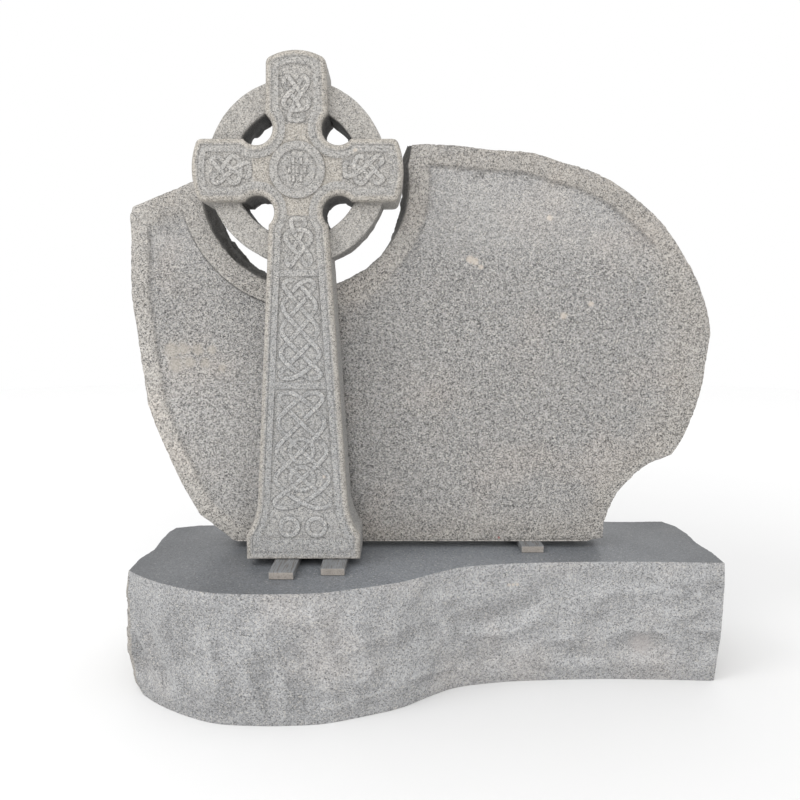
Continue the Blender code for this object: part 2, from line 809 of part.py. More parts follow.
def face_relief(points, curves, heights):
    """Height of the carved face at each point, from the front plane."""
    inset = inset_of(points)
    half_line = LINE_WIDTH / 2
    relief = -BAND_STEP * ramp(inset, OUTER_BAND - half_line, OUTER_BAND + half_line)
    floor = -BAND_STEP - FIELD_STEP
    field = ramp(inset, INNER_BAND - half_line, INNER_BAND + half_line)
    for rise in DIVIDER_RISES:
        off = np.abs(points[:, 1] - rise)
        field = np.minimum(field, ramp(off, DIVIDER_BAND / 2, DIVIDER_BAND / 2 + LINE_WIDTH))
    relief = relief - FIELD_STEP * field

    lift = np.zeros(len(points))
    half = RIBBON_WIDTH / 2
    for line, tops in zip(curves, heights):
        following = np.roll(line, -1, axis=0)
        following_tops = np.roll(tops, -1)
        for start, end, low, high in zip(line, following, tops, following_tops):
            off, share = distance_to_edge(points, start, end)
            top = low + (high - low) * share
            lift = np.maximum(lift, top * (1 - ramp(off, half - RIBBON_EDGE, half)))
    relief = np.maximum(relief, np.where(field > 0, floor + lift, relief))

    radius = np.hypot(points[:, 0], points[:, 1] - BOSS_RISE)
    dish = 1 - ramp(radius, BOSS_INNER - LINE_WIDTH, BOSS_INNER)
    boss = BOSS_STAND - BOSS_DISH * dish
    for x, z in stroke_centres():
        off = np.maximum(np.abs(points[:, 0] - x) - STROKE_WIDTH / 2,
                         np.abs(points[:, 1] - z) - STROKE_LENGTH / 2)
        boss = boss + STROKE_RELIEF * (1 - ramp(off, -LINE_WIDTH / 2, 0.0))
    inside = 1 - ramp(radius, BOSS_OUTER, BOSS_OUTER + LINE_WIDTH)
    return relief + (boss - relief) * inside


def rectangle(x, z, half_width, half_height):
    """Corners of an upright rectangle."""
    return [(x - half_width, z - half_height), (x + half_width, z - half_height),
            (x + half_width, z + half_height), (x - half_width, z + half_height)]


def face_lines(curves):
    """Closed lines that the face's facets follow: steps, ribbons, boss."""
    half_line = LINE_WIDTH / 2
    lines = [cross_outline(EDGE_ROUND)]
    for band in (OUTER_BAND, INNER_BAND):
        lines += [cross_outline(band - half_line), cross_outline(band + half_line)]
    for rise in DIVIDER_RISES:
        for extra in (0.0, LINE_WIDTH):
            lines.append(rectangle(0.0, rise, field_half(rise) + half_line,
                                   DIVIDER_BAND / 2 + extra))
    centre = (0.0, BOSS_RISE)
    for radius in (BOSS_OUTER + LINE_WIDTH, BOSS_OUTER, BOSS_INNER,
                   BOSS_INNER - LINE_WIDTH):
        lines.append(arc(centre, radius, 0.0, math.tau, BOSS_SIDES)[:-1])
    for x, z in stroke_centres():
        for grow in (0.0, -half_line):
            lines.append(rectangle(x, z, STROKE_WIDTH / 2 + grow, STROKE_LENGTH / 2 + grow))
    for line in curves:
        normals = np.array(loop_normals([tuple(p) for p in line]))
        for side in (-1, 1):
            for off in (RIBBON_WIDTH / 2, RIBBON_WIDTH / 2 - RIBBON_EDGE):
                lines.append([tuple(p) for p in line + side * off * normals])
    return lines


def make_wheel(finish):
    """The ring through the arms, thinner than the cross, as a guide to join."""
    front = cross_front() + WHEEL_RECESS
    back = cross_front() + CROSS_THICKNESS - WHEEL_BACK_RECESS
    edge = WHEEL_EDGE
    profile = [(WHEEL_OUTER, front + edge), (WHEEL_OUTER, back),
               (WHEEL_INNER, back), (WHEEL_INNER, front + edge),
               (WHEEL_INNER + edge, front), (WHEEL_OUTER - edge, front)]
    centre = (CROSS_X + WHEEL_SHIFT, boss_height())
    points, faces = [], []
    for k in range(WHEEL_SIDES):
        angle = math.tau * (k + 0.5) / WHEEL_SIDES
        points += [(centre[0] + r * math.cos(angle), y, centre[1] + r * math.sin(angle))
                   for r, y in profile]
    count = len(profile)
    for k in range(WHEEL_SIDES):
        here, there = k * count, (k + 1) % WHEEL_SIDES * count
        for i in range(count):
            j = (i + 1) % count
            faces.append([here + i, here + j, there + j, there + i])
    made = new_object("wheel_guide", points, faces, finish)
    made.hide_render = True
    made.display_type = 'WIRE'
    return made


def make_cross(finish):
    """The ring cross: carved face, rounded edges, plain back."""
    curves = knot_curves()
    heights = weave_heights(curves)
    places, relief, faces, rim = relief_mesh(
        face_lines(curves), lambda points: face_relief(points, curves, heights))
    foot = stone_foot()
    front = cross_front()
    back = front + CROSS_THICKNESS
    points = [(CROSS_X + x, front - h, foot + z) for (x, z), h in zip(places, relief)]
    slope = EDGE_ROUND * (1 - math.sqrt(0.5))
    loops = [[(CROSS_X + x, y, foot + z) for x, z in cross_outline(inset)]
             for inset, y in ((slope, front + slope), (0.0, front + EDGE_ROUND),
                              (0.0, back - EDGE_ROUND / 2), (EDGE_ROUND / 2, back))]
    close_behind(points, faces, rim, loops)
    made = new_object("cross", points, faces, finish)
    join = made.modifiers.new("wheel", 'BOOLEAN')
    join.operation = 'UNION'
    join.solver = 'EXACT'
    join.object = make_wheel(finish)
    return made


def main():
    """Build every piece."""
    remove_all()
    granite = stone("granite_cross", (0.50, 0.48, 0.45), 0.75)
    polished = stone("granite_tablet", (0.36, 0.37, 0.37), 0.45)
    ground = stone("granite_base", (0.40, 0.42, 0.43), 0.60)
    wood = stone("batten_wood", (0.52, 0.47, 0.42), 0.85)
    make_base(ground)
    make_tablet(polished)
    make_battens(wood)
    make_cross(granite)


main()
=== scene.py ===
"""Celtic cross headstone, dressed: granite cross, tablet and base, wooden battens.

Laid out as an add-on, with one operator for each piece and one for the stage.
Metres, +Z up; the carved front looks along -Y, as in the frame.
"""
import math

import bmesh
import bpy
import numpy as np
from bpy.props import FloatProperty, FloatVectorProperty, PointerProperty
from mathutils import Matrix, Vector, noise
from mathutils.geometry import delaunay_2d_cdt


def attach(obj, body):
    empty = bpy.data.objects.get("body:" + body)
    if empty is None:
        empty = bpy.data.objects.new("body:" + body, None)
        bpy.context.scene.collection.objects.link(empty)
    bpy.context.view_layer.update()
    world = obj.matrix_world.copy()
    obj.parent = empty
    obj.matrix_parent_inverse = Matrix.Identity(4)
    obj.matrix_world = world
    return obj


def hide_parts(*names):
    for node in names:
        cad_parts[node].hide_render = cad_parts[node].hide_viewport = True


bl_info = {
    "name": "Celtic Cross Headstone",
    "version": (1, 0, 0),
    "blender": (4, 5, 0),
    "location": "3D View > Sidebar > Headstone",
    "description": "Builds a carved ring cross with its tablet, base and setting battens",
    "category": "Add Mesh",
}

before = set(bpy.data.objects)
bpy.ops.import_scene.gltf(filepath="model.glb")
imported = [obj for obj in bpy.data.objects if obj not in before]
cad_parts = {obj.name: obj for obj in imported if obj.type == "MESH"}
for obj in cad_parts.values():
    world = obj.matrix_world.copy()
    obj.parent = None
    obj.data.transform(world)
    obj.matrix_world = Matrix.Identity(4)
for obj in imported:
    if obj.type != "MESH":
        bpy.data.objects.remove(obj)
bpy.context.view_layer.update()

# Shares of the base's length, and shares of its lobe's depth before the front line
BASE_FRONT_SHARES = (
    (0.050, 0.58), (0.109, 0.82), (0.162, 0.96), (0.225, 1.00), (0.271, 1.00),
    (0.331, 0.96), (0.392, 0.82), (0.455, 0.635), (0.511, 0.355), (0.554, 0.185),
    (0.614, 0.090), (0.667, 0.045), (0.815, 0.000))

# Shares of the base's length, and shares of its back step before the back
BASE_REAR_SHARES = (
    (0.985, 0.0), (0.90, 0.1), (0.80, 0.0), (0.70, 0.25), (0.60, 0.2), (0.50, 0.5),
    (0.40, 0.45), (0.30, 0.8), (0.20, 0.7), (0.10, 1.0), (0.045, 1.1))

# Offset from the base's end in metres, and share of its depth
BASE_RIGHT_END = ((0.004, 0.20), (-0.003, 0.42), (0.005, 0.66), (0.001, 0.86))
BASE_LEFT_END = (
    (0.003, 0.82), (-0.003, 0.73), (-0.002, 0.50), (0.007, 0.27), (-0.004, 0.06))

# How far the front's left and right corners stand before it, in shares of the lobe
BASE_CORNER_SHARES = (0.29, 0.045)

# Middle of a batten from the cross's middle line, and its nose before the cross
LEFT_BATTEN = (-0.0375, 0.082)
RIGHT_BATTEN = (0.0735, 0.057)

# Middle of the third batten from the tablet's left end, and its nose before the tablet
TABLET_BATTEN = (0.973, 0.038)

# Gap between faces that rest on one another
SEAT_GAP = 0.0003

# How many upright strokes stand in each row inside the boss
STROKE_ROWS = (2, 3, 2)

# Turns of a long plait at its ends and at its sides, and how straight its runs are
LONG_PLAIT = (2, 5)
WAVE_SHARPNESS = 0.93

# Turns of the shaft's lower plait that a ring goes round
SHAFT_RING_TURNS = (0, 3)

# How steeply a ribbon climbs from passing under to passing over
WEAVE_STEEPNESS = 1.6

# Climb of a line inside the cross's foot, over the rounded edge and beyond it
FOOT_EDGE_SHARE = 0.35
FOOT_LINE_SHARE = 2.17

# Middle line of an arm's knot, in shares of its run out from the boss and of its
# half-width: squared at the boss, a bulge at each side, two ears at the far end
ARM_KNOT = (
    (0.02, 0.74), (0.02, -0.74), (0.16, -0.62), (0.40, -0.10), (0.62, 0.44), (0.80, 0.90),
    (0.93, 0.92), (1.00, 0.64), (0.90, 0.36), (0.74, -0.08), (0.59, -0.60), (0.46, -0.98),
    (0.32, -0.92), (0.25, -0.50), (0.24, 0.00), (0.25, 0.50), (0.32, 0.92), (0.46, 0.98),
    (0.59, 0.60), (0.74, 0.08), (0.90, -0.36), (1.00, -0.64), (0.93, -0.92),
    (0.80, -0.90), (0.62, -0.44), (0.40, 0.10), (0.16, 0.62))

# Marks in the stone: place across and up, radius, and linear colour
PALE_MARK = (0.58, 0.50, 0.42)
DARK_MARK = (0.10, 0.10, 0.11)
STAIN_MARK = (0.385, 0.352, 0.305)
RED_MARK = (0.35, 0.06, 0.05)
PATCH_MARK = (0.375, 0.350, 0.340)
CROSS_MARKS = (
    (-0.1694, 1.2325, 0.0040, PALE_MARK), (-0.2450, 0.5118, 0.0032, PALE_MARK),
    (-0.1847, 0.3643, 0.0024, DARK_MARK))
TABLET_MARKS = (
    (0.0962, 1.0130, 0.0085, PALE_MARK), (0.1090, 1.0070, 0.0075, PALE_MARK),
    (0.1228, 0.9942, 0.0055, PALE_MARK), (0.2859, 1.1094, 0.0065, PALE_MARK),
    (0.3253, 0.8772, 0.0075, PALE_MARK), (0.3899, 0.9060, 0.0060, PALE_MARK),
    (-0.4149, 0.6474, 0.0030, DARK_MARK), (0.1754, 0.3266, 0.0028, RED_MARK),
    (-0.6298, 0.7950, 0.0174, STAIN_MARK), (-0.5980, 0.7974, 0.0141, STAIN_MARK),
    (-0.5640, 0.7950, 0.0130, STAIN_MARK), (-0.5299, 0.7950, 0.0109, STAIN_MARK),
    (-0.6188, 0.7608, 0.0174, STAIN_MARK), (-0.5844, 0.7657, 0.0130, STAIN_MARK),
    (-0.5479, 0.7633, 0.0109, STAIN_MARK), (-0.5068, 0.7511, 0.0087, STAIN_MARK))
BASE_MARKS = (
    (0.4810, 0.1566, 0.0035, DARK_MARK), (0.5097, 0.0918, 0.0240, PATCH_MARK),
    (0.1845, 0.2480, 0.0034, PALE_MARK), (0.1945, 0.2480, 0.0034, PALE_MARK),
    (0.2045, 0.2482, 0.0034, PALE_MARK))

# Seed of the noise that tilts the flakes of broken stone
FLAKE_SEED = 1795870908

# Spacing of the mesh's points on broken stone, on carving and on plain faces
ROCK_STEP = 0.006
CARVING_STEP = 0.0045
PLAIN_STEP = 0.024

# Height of a triangle of the points' grid, in shares of its side
TRIANGLE_HEIGHT = 0.866

# Edges sharper than this, in degrees, stay crisp
SMOOTH_ANGLE = 35.0

# Columns of the facts about the tablet's edges
WIDTH, SLOPE, ROCK, CUT, PALE_AND_LIT = range(5)


# Sizes and colours that a user would change

def length(name, default, description):
    """A length in metres, for a property group."""
    return FloatProperty(name=name, description=description, default=default,
                         unit='LENGTH', precision=4)


def colour(name, default, description):
    """A linear colour, for a property group."""
    return FloatVectorProperty(name=name, description=description, default=default,
                               subtype='COLOR', size=3, min=0.0, max=1.0)


class HeadstoneBaseSizes(bpy.types.PropertyGroup):
    """Sizes of the base block and of the battens on it."""

    length: length("Length", 1.386, "Length of the base's top arris")
    height: length("Height", 0.300, "Height of the base")
    front: length("Front", -0.069, "Place of the straight part of the front")
    depth: length("Depth", 0.339, "Depth behind the straight part of the front")
    back_step: length("Back step", 0.035, "How far the back runs in at the left")
    lobe: length("Lobe", 0.200, "How far the lobe stands before the front")
    undercut: length("Undercut", 0.017, "How far the front's foot is set back")
    bulge: length("Bulge", 0.012, "Swelling of the broken ends")
    front_roughness: length("Front roughness", 0.0080, "Unevenness of the rock-faced front")
    batten_width: length("Batten width", 0.055, "Width of a setting batten")
    batten_thickness: length("Batten thickness", 0.018, "Thickness of a setting batten")
    batten_tail: length("Batten tail", 0.033, "Length of batten behind the tablet")


class HeadstoneTabletSizes(bpy.types.PropertyGroup):
    """Sizes of the tablet and of its cut-out."""

    front: length("Front", 0.032, "Front plane of the margin")
    thickness: length("Thickness", 0.140, "Thickness of the tablet")
    height: length("Height", 0.962, "Height of the tablet")
    left: length("Left", -0.720, "Left end of the tablet")
    width: length("Width", 1.400, "Width of the tablet")
    wheel_gap: length("Gap round the wheel", 0.049, "From the wheel to the cut-out")
    notch_offset: length("Cut-out offset", -0.003, "From the boss to the cut-out's middle")
    corner_drop: length("Corner drop", 0.047, "From the corner down to the arc")
    corner_flare: length("Corner flare", 0.009, "How far the corner leans out")
    notch_band: length("Cut-out margin", 0.047, "Rough margin round the cut-out")
    notch_bulge: length("Cut-out bulge", 0.016, "Swelling of the cut-out's wall")
    top_band: length("Top margin", 0.044, "Rough margin along the top")
    side_band: length("Side margin", 0.037, "Rough margin along the sides")
    foot_band: length("Foot margin", 0.002, "Margin along the foot")
    relief: length("Relief", 0.006, "Depth of the sunk face")
    ramp: length("Ramp", 0.004, "Width of the slope into the sunk face at the cut-out")
    soft_ramp: length("Soft ramp", 0.010, "Width of the slope along the top")
    left_ramp: length("Left ramp", 0.013, "Width of the slope along the left side")
    shoulder_ramp: length("Shoulder ramp", 0.030, "Width of the slope along the shoulder")
    faded_ramp: length("Faded ramp", 0.110, "Width of the slope where the line fades out")
    fade_low: length("Fade low", 0.93, "Height at which the right line is gone")
    fade_high: length("Fade high", 1.08, "Height from which the right line is clear")
    roughness: length("Roughness", 0.004, "Unevenness of broken stone")


class HeadstoneCrossSizes(bpy.types.PropertyGroup):
    """Sizes of the ring cross."""

    x: length("Middle", -0.2955, "Middle line of the cross")
    thickness: length("Thickness", 0.124, "Thickness of the cross")
    clearance: length("Clearance", 0.013, "Between the cross and the tablet")
    boss_rise: length("Boss rise", 0.8735, "From the foot to the boss")
    arm_reach: length("Arm reach", 0.231, "From the boss to an arm's end")
    arm_half: length("Arm half height", 0.0665, "Half the height of an arm")
    arm_bulge: length("Arm end bulge", 0.0145, "Rise of an arm's curved end")
    top_reach: length("Top reach", 0.2505, "From the boss to the top")
    top_bulge: length("Top bulge", 0.0185, "Rise of the curved top")
    top_half: length("Top half width", 0.0645, "Half the width of the top")
    neck_spread: length("Neck spread", 0.001, "Widening of the top arm's neck")
    pit_standoff: length("Armpit standoff", 0.0225, "From an arm's edge to the armpit's middle")
    pit_radius: length("Armpit radius", 0.036, "Radius of the armpits")
    foot_half: length("Shaft foot half width", 0.103, "Half the shaft's width at its flare")
    flare_rise: length("Flare rise", 0.132, "Height at which the foot flares")
    flare_fullness: length("Flare fullness", 0.005, "Fullness of the flare")
    plinth_half: length("Plinth half width", 0.131, "Half the width of the foot")
    plinth_rise: length("Plinth rise", 0.054, "Height of the foot's upright part")
    edge_round: length("Edge rounding", 0.009, "Rounding of the edges")
    corner_round: length("Corner rounding", 0.010, "Rounding of the arms' corners")
    wheel_shift: length("Wheel shift", -0.004, "From the boss to the wheel's middle")
    wheel_outer: length("Wheel radius", 0.200, "Outer radius of the wheel")
    wheel_inner: length("Wheel inner radius", 0.1416, "Inner radius of the wheel")
    wheel_recess: length("Wheel recess", 0.0275, "Wheel's front behind the cross's front")
    wheel_back: length("Wheel back recess", 0.004, "Wheel's back before the cross's back")
    wheel_edge: length("Wheel edge", 0.003, "Bevel of the wheel's front edges")


class HeadstoneCarvingSizes(bpy.types.PropertyGroup):
    """Sizes of the carving on the face of the cross."""

    outer_band: length("Outer band", 0.0145, "Width of the outer band")
    inner_band: length("Inner band", 0.029, "Width of both bands together")
    line: length("Line", 0.0022, "Width of the step between bands")
    band_step: length("Band step", 0.0010, "Drop from the outer to the inner band")
    field_step: length("Field step", 0.0019, "Drop from the inner band to the field")
    boss_outer: length("Boss radius", 0.060, "Outer radius of the boss ring")
    boss_inner: length("Boss inner radius", 0.0435, "Inner radius of the boss ring")
    boss_stand: length("Boss stand", 0.001, "Height of the boss ring")
    boss_dish: length("Boss dish", 0.0028, "Depth of the dish in the boss")
    stroke_width: length("Stroke width", 0.0080, "Width of a stroke in the boss")
    stroke_length: length("Stroke length", 0.0150, "Length of a stroke")
    stroke_pitch: length("Stroke pitch", 0.0170, "From stroke to stroke")
    stroke_row_pitch: length("Row pitch", 0.0185, "From row to row of strokes")
    stroke_relief: length("Stroke relief", 0.0022, "Height of a stroke")
    knot_start: length("Knot start", 0.098, "From the boss to the arms' knots")
    upper_divider: length("Upper divider", 0.652, "Height of the upper divider")
    lower_divider: length("Lower divider", 0.4025, "Height of the lower divider")
    divider: length("Divider", 0.014, "Width of a divider")
    foot_panel: length("Foot panel", 0.112, "Height of the foot panel's top")
    foot_ring_rise: length("Foot ring rise", 0.076, "Height of the foot's rings")
    foot_ring_x: length("Foot ring spread", 0.031, "From the middle to a foot ring")
    foot_ring: length("Foot ring radius", 0.0205, "Radius of a foot ring")
    shaft_ring: length("Shaft ring radius", 0.027, "Radius of a ring on the shaft")
    ribbon: length("Ribbon width", 0.0105, "Width of a ribbon")
    ribbon_low: length("Ribbon low", 0.0010, "Height of a ribbon that passes under")
    ribbon_high: length("Ribbon high", 0.0026, "Height of a ribbon that passes over")
    ribbon_margin: length("Ribbon margin", 0.0032, "From a ribbon to the field's edge")


class HeadstoneColours(bpy.types.PropertyGroup):
    """Colours of the stone and the wood."""

    cross: colour("Cross", (0.315, 0.312, 0.306), "Fine-punched stone of the cross")
    cross_edge: colour("Cross edges", (0.368, 0.340, 0.300),
                       "Warm stone of the bands and floors")
    face: colour("Tablet face", (0.276, 0.267, 0.256), "Satin face of the tablet")
    margin: colour("Margin", (0.358, 0.327, 0.288), "Rough margin of the tablet")
    # Greyer stone and painted light: the margin is paler by the cut-out, against the cross's
    # shade, and on the left
    lit_grey_margin: colour("Pale margin", (0.385, 0.366, 0.340), "Paler margin of the cut-out")
    rock: colour("Broken stone", (0.30, 0.295, 0.285), "Broken walls of the stones")
    wall: colour("Base front", (0.340, 0.340, 0.342), "Dressed front of the base")
    top: colour("Base top", (0.125, 0.132, 0.142), "Polished top of the base")
    mica: colour("Mica", (0.045, 0.048, 0.054), "Dark grains")
    quartz: colour("Quartz", (0.180, 0.190, 0.203), "Grey grains")
    feldspar: colour("Feldspar", (0.62, 0.585, 0.53), "Pale grains")
    stain: colour("Stain", (0.46, 0.38, 0.32), "Warm stains")
    # Partly weathered wood, partly painted shade: the long faces are darker than the sawn ends
    wood_weathered_and_shaded: colour("Weathered wood", (0.190, 0.196, 0.202), "Top of the battens")
    wood_end: colour("Sawn wood", (0.33, 0.30, 0.27), "Sawn ends of the battens")
    wood_grain: colour("Wood grain", (0.13, 0.12, 0.11), "Grain lines of the battens")
    floor: colour("Floor", (0.84, 0.84, 0.84), "Studio floor")


# Shader expressions

class Term:
    """A number socket in an expression; arithmetic on it adds Math nodes."""

    def __init__(self, finish, socket):
        self.finish = finish
        self.socket = socket

    def math(self, operation, *values, clamp=False):
        """This value through a Math node."""
        inputs = dict(enumerate(values))
        return self.finish.node("ShaderNodeMath", inputs, operation=operation,
                                use_clamp=clamp).value()

    def __add__(self, other):
        return self.math('ADD', self, other)

    __radd__ = __add__

    def __sub__(self, other):
        return self.math('SUBTRACT', self, other)

    def __rsub__(self, other):
        return self.math('SUBTRACT', other, self)

    def __mul__(self, other):
        return self.math('MULTIPLY', self, other)

    __rmul__ = __mul__

    def clamped(self):
        """This value kept between 0 and 1."""
        return self.math('ADD', self, 0.0, clamp=True)

    def above(self, edge, softness):
        """0 below the edge, 1 above it, with a soft step."""
        return ((self - (edge - softness / 2)) * (1 / softness)).clamped()


class Nodes:
    """One made node, whose outputs are taken by name or number."""

    def __init__(self, finish, made):
        self.finish = finish
        self.made = made

    def value(self, output=0):
        """An output as a number in expressions."""
        return Term(self.finish, self.made.outputs[output])

    def out(self, output=0):
        """An output as a bare link, for colours and vectors."""
        return self.made.outputs[output]


class Finish:
    """A material under construction."""

    def __init__(self, name):
        self.material = bpy.data.materials.new(name)
        self.material.use_nodes = True
        self.tree = self.material.node_tree
        self.shader = self.tree.nodes["Principled BSDF"]

    def node(self, kind, inputs=None, stops=None, **settings):
        """Add a node: its settings first, then the values or links of its sockets."""
        made = self.tree.nodes.new(kind)
        for name, setting in settings.items():
            setattr(made, name, setting)
        if stops:
            band = made.color_ramp
            while len(band.elements) < len(stops):
                band.elements.new(0.5)
            for element, (position, tint) in zip(band.elements, stops):
                element.position = position
                element.color = (*tint, 1.0)
        for key, given in (inputs or {}).items():
            self.plug(made.inputs[key], given)
        return Nodes(self, made)

    def plug(self, socket, given):
        """Set a socket to a plain value, or link it to an expression."""
        if isinstance(given, Term):
            given = given.socket
        if isinstance(given, bpy.types.NodeSocket):
            self.tree.links.new(given, socket)
        elif hasattr(given, "__len__") and len(given) == 3 and socket.type == 'RGBA':
            socket.default_value = (*given, 1.0)
        else:
            socket.default_value = given

    def place(self):
        """The point on the piece, in metres."""
        return self.node("ShaderNodeTexCoord").out("Object")

    def split(self, vector):
        """The three numbers of a vector."""
        parts = self.node("ShaderNodeSeparateXYZ", {0: vector})
        return [parts.value(axis) for axis in range(3)]

    def joined(self, x, y, z):
        """A vector from three numbers."""
        return self.node("ShaderNodeCombineXYZ", {0: x, 1: y, 2: z}).out()

    def attribute(self, name):
        """A number that the mesh carries."""
        return self.node("ShaderNodeAttribute", attribute_name=name).value("Fac")

    def grain(self, place, scale, detail=2.0, roughness=0.5):
        """Soft noise; scale counts its features in a metre."""
        return self.node("ShaderNodeTexNoise",
                         {"Vector": place, "Scale": scale, "Detail": detail,
                          "Roughness": roughness})

    def vector(self, operation, a, b):
        """A Vector Math node on two vectors."""
        return self.node("ShaderNodeVectorMath", {0: a, 1: b}, operation=operation).out()

    def scaled(self, a, factor):
        """A vector times a number."""
        return self.node("ShaderNodeVectorMath", {0: a, "Scale": factor},
                         operation='SCALE').out()

    def away(self, place, centre):
        """Distance from a fixed point, in metres."""
        return self.node("ShaderNodeVectorMath", {0: place, 1: centre},
                         operation='DISTANCE').value("Value")

    def crystals(self, place, size):
        """A random number for each crystal of about that size."""
        cells = self.node("ShaderNodeTexVoronoi", {"Vector": place, "Scale": 1 / size},
                          feature='F1')
        return self.node("ShaderNodeSeparateColor", {0: cells.out("Color")}).value(0)

    def mix(self, share, a, b):
        """Colour a, going to colour b as share goes from 0 to 1."""
        return self.node("ShaderNodeMix", {0: share, 6: a, 7: b}, data_type='RGBA').out(2)

    def tinted(self, base, factor):
        """A colour made lighter or darker by a number."""
        grey = self.node("ShaderNodeCombineColor", {0: factor, 1: factor, 2: factor}).out()
        return self.node("ShaderNodeMix", {0: 1.0, 6: base, 7: grey}, data_type='RGBA',
                         blend_type='MULTIPLY').out(2)

    def mark(self, place, base, x, z, radius, tint):
        """A soft round mark of a tint on a front face."""
        flat = self.vector('MULTIPLY', place, (1.0, 0.0, 1.0))
        wobble = self.grain(place, 120.0, 1.0).value("Fac")
        away = self.away(flat, (x, 0.0, z))
        share = 1.0 - (away + (wobble - 0.5) * radius).above(radius, radius * 0.8)
        return self.mix(share * 0.6, base, tint)

    def relief(self, height, distance):
        """Fine relief from a height between 0 and 1, given its depth in metres."""
        bump = self.node("ShaderNodeBump", {"Height": height, "Distance": distance,
                                            "Strength": 1.0})
        self.tree.links.new(bump.out(), self.shader.inputs["Normal"])

    def finished(self, base, roughness):
        """Plug in the colour and roughness, and return the material."""
        self.plug(self.shader.inputs["Base Color"], base)
        self.plug(self.shader.inputs["Roughness"], roughness)
        return self.material


def granite_grains(finish, place, body, tints, crystal, contrast, dark=0.05, pale=0.10):
    """Granite colour: a body colour broken up by mica, quartz and feldspar."""
    wander = finish.grain(place, 320.0, 1.0).out("Color")
    bent = finish.vector('ADD', place, finish.scaled(wander, 0.002))
    coarse = finish.crystals(bent, crystal)
    fine = finish.crystals(finish.vector('ADD', bent, (0.37, 0.11, 0.23)), crystal * 0.7)
    flecks = finish.crystals(finish.vector('ADD', bent, (0.71, 0.53, 0.19)), crystal * 0.9)
    cloud = finish.grain(place, 7.0, 3.0).value("Fac")
    light = 1.0 + contrast * (coarse * 0.55 + fine * 0.45 - 0.5) + (cloud - 0.5) * 0.14
    base = finish.tinted(body, light)
    base = finish.mix(fine.above(0.70, 0.30) * 0.40, base, tints.quartz)
    base = finish.mix(flecks.above(1.0 - pale, 0.10) * 0.5, base, tints.feldspar)
    return finish.mix((1.0 - flecks).above(1.0 - dark, 0.04) * 0.65, base, tints.mica)


def cross_granite(tints):
    """Fine-punched granite, with painted shade in the carved hollows and on the hole walls, and
    painted light on raised carving and towards the foot.
    """
    finish = Finish("cross_granite")
    place = finish.place()
    z = finish.split(place)[2]
    # The head is warmer than the shaft
    warm = (finish.attribute("warmth") + 0.35 * z.above(0.95, 0.30)).clamped()
    body = finish.mix(warm, tints.cross, tints.cross_edge)
    base = granite_grains(finish, place, body, tints, crystal=0.0023, contrast=1.45)
    for mark in CROSS_MARKS:
        base = finish.mark(place, base, *mark)
    # Painted light and shade: darker in recesses and on hole walls, paler on raised ribbons and
    # strokes, and paler towards the foot
    low = 1.0 - z.above(0.48, 0.24)
    light = (1.0 - 0.62 * finish.attribute("grime") + 0.13 * finish.attribute("crest")
             + 0.12 * low)
    base = finish.tinted(base, light)
    punch = finish.grain(place, 520.0, 2.0, 0.6).value("Fac")
    finish.relief(punch, 0.0011)
    return finish.finished(base, 0.82 - 0.12 * punch)


def tablet_granite(tints):
    """Satin sunk face and a rough warm margin, told apart by the mesh."""
    finish = Finish("tablet_granite")
    place = finish.place()
    sunk = finish.attribute("sunk")
    x, _, z = finish.split(place)
    cloud = finish.grain(place, 16.0, 3.0).value("Fac")
    margin = finish.mix(cloud, tints.margin, tints.face)
    # Margin painted paler and greyer near the cut-out and on the left: partly greyer stone,
    # partly painted light
    margin = finish.mix(finish.attribute("tone"), margin, tints.lit_grey_margin)
    body = finish.mix(sunk, margin, tints.face)
    # Warm patches in the stone, a few hands wide
    patches = finish.grain(place, 5.0, 2.0).value("Fac").above(0.58, 0.16)
    body = finish.mix(patches * 0.16, body, tints.stain)
    # Painted reflection: paler with weaker grains above 1.02 m, and a painted sheen low on the
    # left
    low = 1.0 - z.above(1.02, 0.06)
    left = (1.0 - x.above(-0.42, 0.16)) * (1.0 - z.above(0.78, 0.24))
    body = finish.tinted(body, 1.0 - 0.03 * low + 0.22 * left)
    base = granite_grains(finish, place, body, tints, crystal=0.0027,
                          contrast=1.60 + 0.50 * low, dark=0.07)
    for mark in TABLET_MARKS:
        base = finish.mark(place, base, *mark)
    # Rare large feldspars
    spots = finish.node("ShaderNodeTexVoronoi",
                        {"Vector": finish.vector('ADD', place, (0.013, 0.0, 0.021)),
                         "Scale": 16.0}, feature='F1')
    chosen = finish.node("ShaderNodeSeparateColor", {0: spots.out("Color")}).value(1)
    near = 1.0 - spots.value("Distance").above(0.085, 0.03)
    base = finish.mix(near * chosen.above(0.93, 0.02) * 0.5, base, tints.feldspar)
    # Painted shade along the crisp lines of the sunk face and on the cut-out's wall
    grime = finish.attribute("grime")
    base = finish.tinted(base, 1.0 - 0.6 * grime)
    pits = finish.grain(place, 420.0, 2.0, 0.6).value("Fac")
    finish.relief(pits * (1.0 - 0.95 * sunk), 0.0014)
    return finish.finished(base, 0.85 - 0.70 * sunk)


def broken_granite(tints):
    """Rock-pitched walls of the tablet and the base."""
    finish = Finish("broken_granite")
    place = finish.place()
    cloud = finish.grain(place, 24.0, 3.0).value("Fac")
    body = finish.mix(cloud, tints.rock, tints.margin)
    base = granite_grains(finish, place, body, tints, crystal=0.0028, contrast=1.0)
    # Painted shade where the mesh carries it, on the cut-out's wall
    base = finish.tinted(base, 1.0 - 0.62 * finish.attribute("grime"))
    rough = finish.grain(place, 160.0, 4.0, 0.65).value("Fac")
    finish.relief(rough, 0.0035)
    return finish.finished(base, 0.88)


